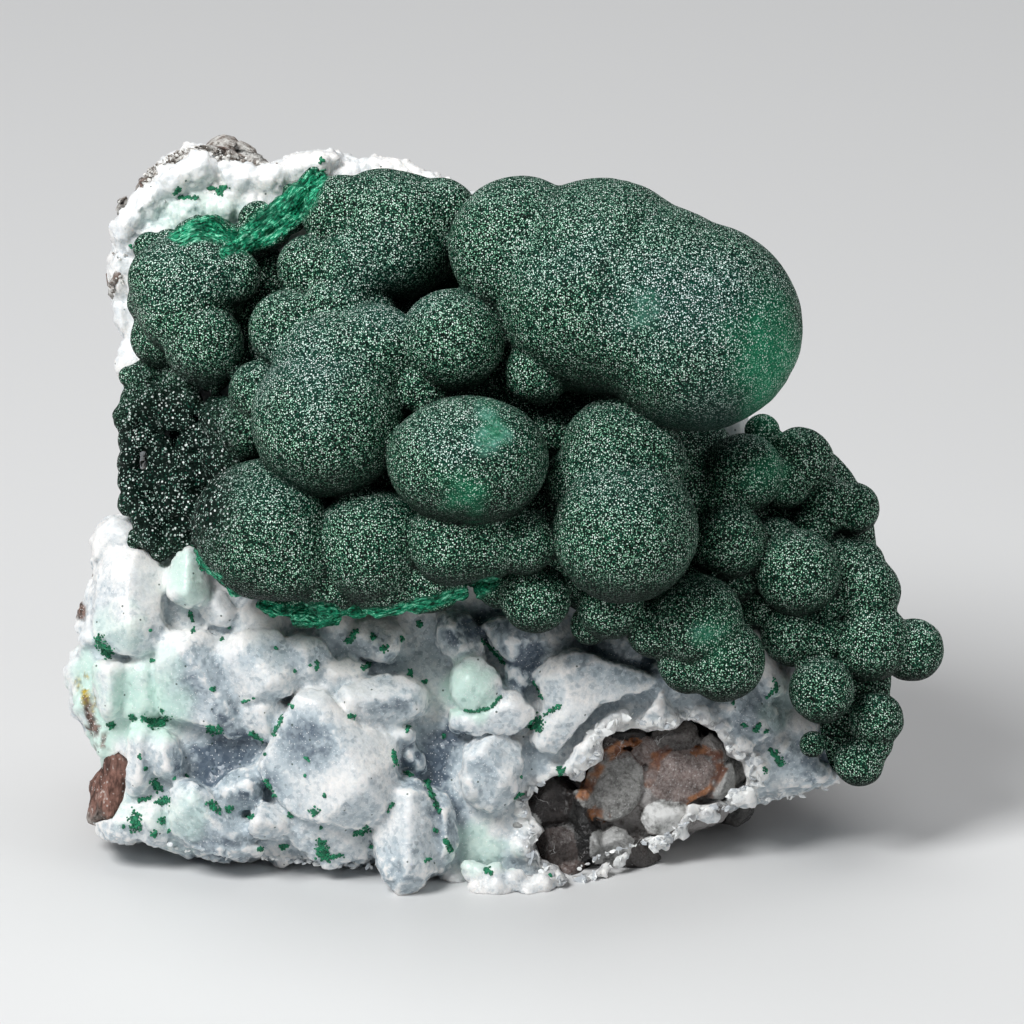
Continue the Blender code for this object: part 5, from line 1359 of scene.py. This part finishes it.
def sparkleGroup():
    # Tiny crystal faces: where each one is, a random number for it, and the way it faces
    group = bpy.data.node_groups.new("crystalSparkle", 'ShaderNodeTree')
    for name in ("Size", "Share", "Tilt", "Reach"):
        group.interface.new_socket(name, in_out='INPUT', socket_type='NodeSocketFloat')
    for name, kind in (("Speck", "Float"), ("Chance", "Float"), ("Normal", "Vector")):
        group.interface.new_socket(name, in_out='OUTPUT', socket_type="NodeSocket" + kind)
    given = group.nodes.new("NodeGroupInput").outputs
    scale = sums(group, 'DIVIDE', 1000.0, given["Size"])
    cells = put(group, "TexVoronoi", {"Vector": here(group), "Scale": scale, "Randomness": 1.0})
    parts = put(group, "SeparateColor", {"Color": cells.outputs["Color"]})
    chosen = sums(group, 'GREATER_THAN', parts.outputs[0], sums(group, 'SUBTRACT', 1.0, given["Share"]))
    outer, inner = (sums(group, step, given["Reach"], 0.08) for step in ('ADD', 'SUBTRACT'))
    centred = vectors(group, 'SUBTRACT', cells.outputs["Color"], (0.5, 0.5, 0.5))
    tilted = put(group, "VectorMath", {0: centred, "Scale": given["Tilt"]}, operation='SCALE').outputs[0]
    total = vectors(group, 'ADD', put(group, "NewGeometry").outputs["Normal"], tilted)
    feed(group, group.nodes.new("NodeGroupOutput"), {
        "Speck": times(group, chosen, ramp(group, cells.outputs["Distance"], outer, inner)),
        "Chance": parts.outputs[1],
        "Normal": put(group, "VectorMath", {0: total}, operation='NORMALIZE').outputs[0],
    })
    return group


def sparkle(tree, group, size, share, tilt, reach=0.34):
    # One sparkle: the cells' size in mm, the share that sparkles, how far they tilt, and the specks' radius
    made = put(tree, "Group", node_tree=group)
    feed(tree, made, {"Size": size, "Share": share, "Tilt": tilt, "Reach": reach})
    return made.outputs


def malachiteFinish(group):
    # Near-black green under a druse of tiny crystals, green to pale, whose whitest specks are painted glints;
    # painted shade darkens it underneath, with fewer specks there, and a painted highlight and glow lighten
    # it
    finish, tree, shader = newFinish("velvet_malachite")
    fine = sparkle(tree, group, 0.19, 1.0, 1.2, 0.37)
    bright = sparkle(tree, group, 0.27, 0.45, 1.3, 0.31)
    large = sparkle(tree, group, 0.42, 0.62, 1.4)
    names = ("coarse", "lip", "paintedGlow", "paintedShade", "paintedHighlight")
    coarse, lip, paintedGlow, paintedShade, paintedHighlight = (painted(tree, name) for name in names)
    # painted shade: fewer specks, and below them a darker green, on undersides, in hollows and along creases
    share = ramp(tree, paintedShade, 0.0, 1.0, 1.0, 0.07)
    deep = blend(tree, ramp(tree, bright["Chance"], 0.3, 1.0), (0.0003, 0.004, 0.002), (0.002, 0.030, 0.016))
    deep = blend(tree, times(tree, paintedShade, 0.9), deep, (0.0003, 0.003, 0.002))
    # painted highlight: a paler teal green, paler specks and whiter glints where the light falls
    deep = blend(tree, times(tree, paintedHighlight, 0.5), deep, (0.005, 0.055, 0.042))
    # painted glow: a brighter green, and greener specks, as of light shining through
    green = blend(tree, paintedGlow, deep, (0.012, 0.24, 0.11))
    pale = blend(tree, paintedHighlight, (0.42, 0.82, 0.56), (0.76, 0.97, 0.94))
    pale = blend(tree, times(tree, paintedGlow, 0.7), pale, (0.25, 0.92, 0.60))
    # the druse's specks, green to pale: partly the crystals' own colour, partly painted glints
    druseAndGlints = blend(tree, ramp(tree, fine["Chance"], 0.25, 0.8), (0.008, 0.11, 0.06), pale)
    # the brightest specks, near white: painted glints
    light = blend(tree, paintedHighlight, (0.80, 0.97, 0.86), (0.93, 1.0, 0.98))
    velvet = blend(tree, times(tree, fine["Speck"], share), green, druseAndGlints)
    velvet = blend(tree, times(tree, bright["Speck"], share), velvet, light)
    # the coarse, darker druse at the left edge
    druse = blend(tree, coarse, velvet, (0.001, 0.008, 0.005))
    # larger specks in the coarse patch, the palest of them painted glints
    druse = blend(tree, times(tree, bright["Speck"], coarse), druse, (0.4, 0.62, 0.52))
    grit = blend(tree, ramp(tree, large["Chance"], 0.3, 1.0), (0.004, 0.05, 0.03), (0.85, 0.92, 0.88))
    druse = blend(tree, times(tree, times(tree, large["Speck"], coarse), share), druse, grit)
    # the bald spots, where the druse is rubbed off
    teal = blend(tree, painted(tree, "mottle"), (0.03, 0.20, 0.11), (0.14, 0.42, 0.32))
    druse = blend(tree, times(tree, painted(tree, "bald"), 0.75), druse, teal)
    # the bright fibres of the broken lips, drawn out across each lip
    ribs = put(tree, "Attribute", attribute_name="ribs").outputs["Vector"]
    fibre = grain(tree, 0.32, 3.0, 0.72, vectors(tree, 'MULTIPLY', ribs, (0.22, 1.0, 0.6)))
    silk = blend(tree, ramp(tree, fibre, 0.38, 0.58), (0.002, 0.04, 0.02), (0.012, 0.34, 0.17))
    silk = blend(tree, ramp(tree, fibre, 0.54, 0.66), silk, (0.34, 0.86, 0.60))
    # darker in the pits, and painted shade in the hollows
    silk = blend(tree, times(tree, painted(tree, "pitsAndShade"), 0.6), silk, (0.001, 0.03, 0.017))
    feed(tree, shader, {
        "Base Color": blend(tree, lip, druse, silk),
        "Normal": fine["Normal"],
        "Roughness": ramp(tree, fine["Speck"], 0.0, 1.0, 0.6, 0.25),
        "Specular IOR Level": 0.12,
    })
    return finish


def quartzFinish(group):
    # Milky frost over mist and slate blue, deeper where shade is painted, with mint and brown stains, dark
    # specks, white specks that are partly painted glints, and broken white rims
    finish, tree, shader = newFinish("frosted_quartz")
    fine = sparkle(tree, group, 0.2, 0.16, 1.0, 0.36)
    flakes = sparkle(tree, group, 0.5, 0.5, 0.9)
    frost = grain(tree, 0.7, 2.0, 0.6)
    mottled = ramp(tree, frost, 0.42, 0.6)
    milk = blend(tree, painted(tree, "veil"), (0.90, 0.88, 0.86), (0.80, 0.815, 0.82))
    # the depth of blue-grey: real slate patches, and painted shade in hollows and on faces turned down
    depth = sums(tree, 'ADD', painted(tree, "blueAndShade"), ramp(tree, frost, 0.35, 0.65, -0.08, 0.08), clamp=True)
    icy = ramp(tree, depth, 0.05, 0.45, 0.12, 0.5)
    mist = blend(tree, ramp(tree, depth, 0.0, 0.55), milk, (0.50, 0.575, 0.62))
    slate = blend(tree, ramp(tree, depth, 0.45, 1.0), mist, (0.09, 0.125, 0.17))
    slate = blend(tree, times(tree, ramp(tree, flakes["Chance"], 0.4, 1.0), icy), slate, (0.25, 0.31, 0.36))
    tinted = blend(tree, times(tree, painted(tree, "mint"), 0.75), slate, (0.56, 0.79, 0.69))
    for name, first, second in (("ochre", (0.50, 0.36, 0.04), (0.12, 0.09, 0.02)),
                                ("brown", (0.05, 0.025, 0.016), (0.24, 0.15, 0.12))):
        tinted = blend(tree, painted(tree, name), tinted, blend(tree, mottled, first, second))
    shard = blend(tree, ramp(tree, painted(tree, "shade"), 0.0, 0.7), (0.26, 0.26, 0.27), (0.84, 0.84, 0.82))
    tinted = blend(tree, times(tree, painted(tree, "broken"), 0.75), tinted, shard)
    # white specks: partly frost grains, partly painted glints
    white = blend(tree, times(tree, fine["Speck"], 0.7), tinted, (0.95, 0.96, 0.97))
    pepper = put(tree, "TexVoronoi", {"Vector": here(tree), "Scale": 900.0, "Randomness": 1.0})
    chance = put(tree, "SeparateColor", {"Color": pepper.outputs["Color"]}).outputs[0]
    few = sums(tree, 'GREATER_THAN', chance, 0.86)
    dots = times(tree, few, ramp(tree, pepper.outputs["Distance"], 0.16, 0.1))
    bump = put(tree, "Bump", {"Strength": 0.5, "Distance": 0.0003, "Height": frost}).outputs[0]
    facets = put(tree, "Mix", {0: 0.25, 4: bump, 5: fine["Normal"]}, data_type='VECTOR').outputs[1]
    feed(tree, shader, {
        "Base Color": blend(tree, times(tree, dots, 0.85), white, (0.03, 0.06, 0.05)),
        "Normal": put(tree, "Mix", {0: icy, 4: facets, 5: flakes["Normal"]}, data_type='VECTOR').outputs[1],
        "Roughness": ramp(tree, fine["Speck"], 0.0, 1.0, 0.36, 0.1),
        "Subsurface Weight": 0.25,
        "Subsurface Radius": (0.0018, 0.002, 0.0022),
        "Subsurface Scale": 1.0,
    })
    return finish


def smokyFinish(group):
    # Glassy black to rough grey and mauve by the stone's tone, with white cracks and snow and rusty seams
    finish, tree, shader = newFinish("smoky_glass")
    fine = sparkle(tree, group, 0.35, 0.2, 0.7)
    pale = painted(tree, "pale")
    cloud = grain(tree, 2.0, 5.0, 0.65)
    clouded = ramp(tree, cloud, 0.35, 0.65)
    salt = ramp(tree, grain(tree, 0.4, 4.0, 0.75), 0.4, 0.62)
    black = blend(tree, ramp(tree, cloud, 0.45, 0.75), (0.003, 0.0027, 0.0027), (0.02, 0.017, 0.016))
    grey = blend(tree, ramp(tree, grain(tree, 0.9, 5.0), 0.35, 0.65), (0.13, 0.13, 0.125), (0.34, 0.34, 0.33))
    grey = blend(tree, times(tree, salt, 0.6), grey, (0.50, 0.50, 0.48))
    mauve = blend(tree, clouded, (0.08, 0.042, 0.034), (0.26, 0.18, 0.16))
    mauve = blend(tree, times(tree, salt, 0.5), mauve, (0.42, 0.36, 0.34))
    base = blend(tree, painted(tree, "brown"), blend(tree, pale, black, grey), mauve)
    # cracks run between cells whose places drift, where the stone is dark
    drift = put(tree, "TexNoise", {"Vector": here(tree), "Scale": 500.0, "Detail": 3.0}).outputs["Color"]
    moved = vectors(tree, 'ADD', here(tree), vectors(tree, 'MULTIPLY', drift, (0.003, 0.003, 0.003)))
    veins = put(tree, "TexVoronoi", {"Vector": moved, "Scale": 190.0}, feature='DISTANCE_TO_EDGE')
    crack = ramp(tree, veins.outputs["Distance"], 0.014, 0.0)
    crack = times(tree, crack, ramp(tree, grain(tree, 5.0), 0.48, 0.6))
    crack = times(tree, crack, ramp(tree, pale, 0.6, 0.2, 0.15, 1.0))
    snow = times(tree, painted(tree, "white"), ramp(tree, cloud, 0.35, 0.55))
    base = blend(tree, snow, base, (0.80, 0.80, 0.79))
    rusty = blend(tree, clouded, (0.12, 0.035, 0.015), (0.42, 0.17, 0.06))
    base = blend(tree, times(tree, painted(tree, "rust"), 0.9), base, rusty)
    white = sums(tree, 'MAXIMUM', crack, times(tree, painted(tree, "seam"), ramp(tree, cloud, 0.4, 0.6)))
    base = blend(tree, times(tree, white, 0.75), base, (0.62, 0.61, 0.60))
    glint = times(tree, fine["Speck"], ramp(tree, pale, 0.1, 0.6, 0.0, 0.3))
    rough = grain(tree, 0.6, 4.0, 0.65)
    feed(tree, shader, {
        "Base Color": blend(tree, glint, base, (0.7, 0.7, 0.7)),
        "Normal": put(tree, "Bump", {"Strength": 0.8, "Distance": 0.0004, "Height": rough}).outputs[0],
        "Roughness": ramp(tree, pale, 0.0, 0.8, 0.09, 0.5),
    })
    return finish


def rockFinish(group):
    # Brown rock, paler where it is finely broken and along the rim, with rusty patches and striped red-brown
    finish, tree, shader = newFinish("brown_rock")
    fine = sparkle(tree, group, 0.4, 0.25, 0.8)
    close = grain(tree, 1.5, 4.0, 0.7)
    broad = ramp(tree, grain(tree, 8.0, 5.0, 0.6), 0.35, 0.65)
    base = blend(tree, broad, (0.10, 0.075, 0.065), (0.30, 0.26, 0.235))
    base = blend(tree, ramp(tree, close, 0.42, 0.68), base, (0.42, 0.39, 0.36))
    pale = blend(tree, ramp(tree, close, 0.38, 0.62), (0.16, 0.13, 0.11), (0.62, 0.61, 0.58))
    base = blend(tree, painted(tree, "rim"), base, pale)
    rusty = times(tree, ramp(tree, grain(tree, 4.0, 4.0), 0.52, 0.68), 0.6)
    base = blend(tree, rusty, base, (0.16, 0.065, 0.045))
    slant = {"Vector": here(tree), "Rotation": (0.0, 0.7, 0.0), "Scale": (1.0, 1.0, 0.22)}
    stripe = grain(tree, 0.9, 4.0, 0.6, put(tree, "Mapping", slant).outputs[0])
    redBrown = blend(tree, ramp(tree, stripe, 0.38, 0.62), (0.05, 0.02, 0.013), (0.26, 0.13, 0.10))
    redBrown = blend(tree, ramp(tree, stripe, 0.6, 0.72), redBrown, (0.50, 0.40, 0.36))
    base = blend(tree, painted(tree, "rust"), base, redBrown)
    base = blend(tree, times(tree, painted(tree, "crack"), 0.25), base, (0.03, 0.025, 0.022))
    bump = put(tree, "Bump", {"Strength": 0.8, "Distance": 0.0006, "Height": close, "Normal": fine["Normal"]})
    feed(tree, shader, {
        "Base Color": blend(tree, times(tree, fine["Speck"], 0.4), base, (0.62, 0.6, 0.57)),
        "Normal": bump.outputs[0],
        "Roughness": ramp(tree, fine["Speck"], 0.0, 1.0, 0.85, 0.3),
    })
    return finish


def chipFinish(name, dark, pale, rough):
    # Broken splinters, each of its own tone, with a glassy face
    finish, tree, shader = newFinish(name)
    mottle = ramp(tree, grain(tree, 0.5, 4.0), 0.3, 0.7, -0.3, 0.3)
    tone = sums(tree, 'ADD', painted(tree, "tone"), mottle, clamp=True)
    colour = blend(tree, ramp(tree, tone, 0.1, 0.75), dark, pale)
    feed(tree, shader, {"Base Color": colour, "Roughness": rough})
    return finish


def fleckFinish():
    # Two greens, mottled
    finish, tree, shader = newFinish("green_fleck")
    colour = blend(tree, ramp(tree, grain(tree, 0.6), 0.35, 0.65), (0.004, 0.10, 0.05), (0.012, 0.26, 0.12))
    feed(tree, shader, {"Base Color": colour, "Roughness": 0.5})
    return finish


def floorFinish():
    # Plain pale grey
    finish, tree, shader = newFinish("pale_floor")
    feed(tree, shader, {"Base Color": (0.71, 0.71, 0.71, 1.0), "Roughness": 0.5})
    return finish


# Studio
studio = {
    "floor": 3.0,
    "world": (0.92, 0.95, 1.0), "worldStrength": 0.125,
    # name, place in metres, aim, width, height, power in watts, colour
    "lights": [
        ("key", (-0.42, -0.42, 0.72), (0.0, 0.0, 0.04), 0.36, 0.36, 8.4, (0.99, 1.0, 1.0)),
        ("overhead", (0.05, 0.25, 0.95), (0.0, 0.0, 0.04), 0.8, 0.5, 3.8, (1.0, 1.0, 1.0)),
        ("right", (0.8, -0.5, 0.35), (0.0, 0.0, 0.04), 0.3, 0.5, 1.0, (0.98, 0.99, 1.0)),
    ],
    # the picture's middle on the face (right, up, out), how far the camera stands, and the width seen, in mm
    "look": (0.875, 49.125, 12.0), "distance": 2000.0, "width": 128.0,
    # the sensor's width in mm, and how near and far the camera sees, in metres
    "sensor": 36.0, "clip": (0.1, 20.0),
}


def aimed(name, data, place, aim):
    # A lamp or camera that stands at a place and looks at its aim
    made = bpy.data.objects.new(name, data)
    made.location = place
    made.rotation_euler = (Vector(aim) - Vector(place)).to_track_quat('-Z', 'Y').to_euler()
    bpy.context.scene.collection.objects.link(made)
    return made


def makeStudio():
    # A flat floor, an even pale world, three soft lamps, and a camera far in front of the leaning face
    size = studio["floor"]
    floor = makePiece("floor", [(-size, -size, 0), (size, -size, 0), (size, size, 0), (-size, size, 0)],
                      [(0, 1, 2, 3)])
    floor.data.materials.append(floorFinish())
    world = bpy.data.worlds.new("studio")
    bpy.context.scene.world = world
    world.use_nodes = True
    back = world.node_tree.nodes["Background"]
    feed(world.node_tree, back, {"Color": (*studio["world"], 1.0), "Strength": studio["worldStrength"]})
    for name, place, aim, wide, tall, power, colour in studio["lights"]:
        light = bpy.data.lights.new(name, 'AREA')
        light.shape = 'RECTANGLE'
        light.size, light.size_y, light.energy, light.color = wide, tall, power, colour
        aimed(name, light, place, aim)
    lens = bpy.data.cameras.new("camera")
    lens.sensor_width = studio["sensor"]
    lens.lens = studio["sensor"] * studio["distance"] / studio["width"]
    lens.clip_start, lens.clip_end = studio["clip"]
    target = np.array(studio["look"])
    camera = aimed("camera", lens, toWorld(target + (0, 0, studio["distance"])), toWorld(target))
    bpy.context.scene.camera = camera
    bpy.context.scene.view_settings.view_transform = 'Standard'
    print("studio done")


def main():
    # The studio first, then each piece with its finish, and last what lies on the crust
    makeStudio()
    group = sparkleGroup()
    makeMalachite(malachiteFinish(group))
    frost, stoneFinish = quartzFinish(group), rockFinish(group)
    crust = makeQuartz(frost)
    makeSmoky(smokyFinish(group))
    makeRock(stoneFinish)
    tree = skinTree(crust)
    makeQuartzChips(chipFinish("quartz_splinter", (0.52, 0.55, 0.58), (0.88, 0.89, 0.88), 0.25), tree)
    makeRockChips(chipFinish("rock_splinter", (0.15, 0.12, 0.10), (0.74, 0.73, 0.70), 0.3))
    makeFlecks(fleckFinish(), tree)


main()
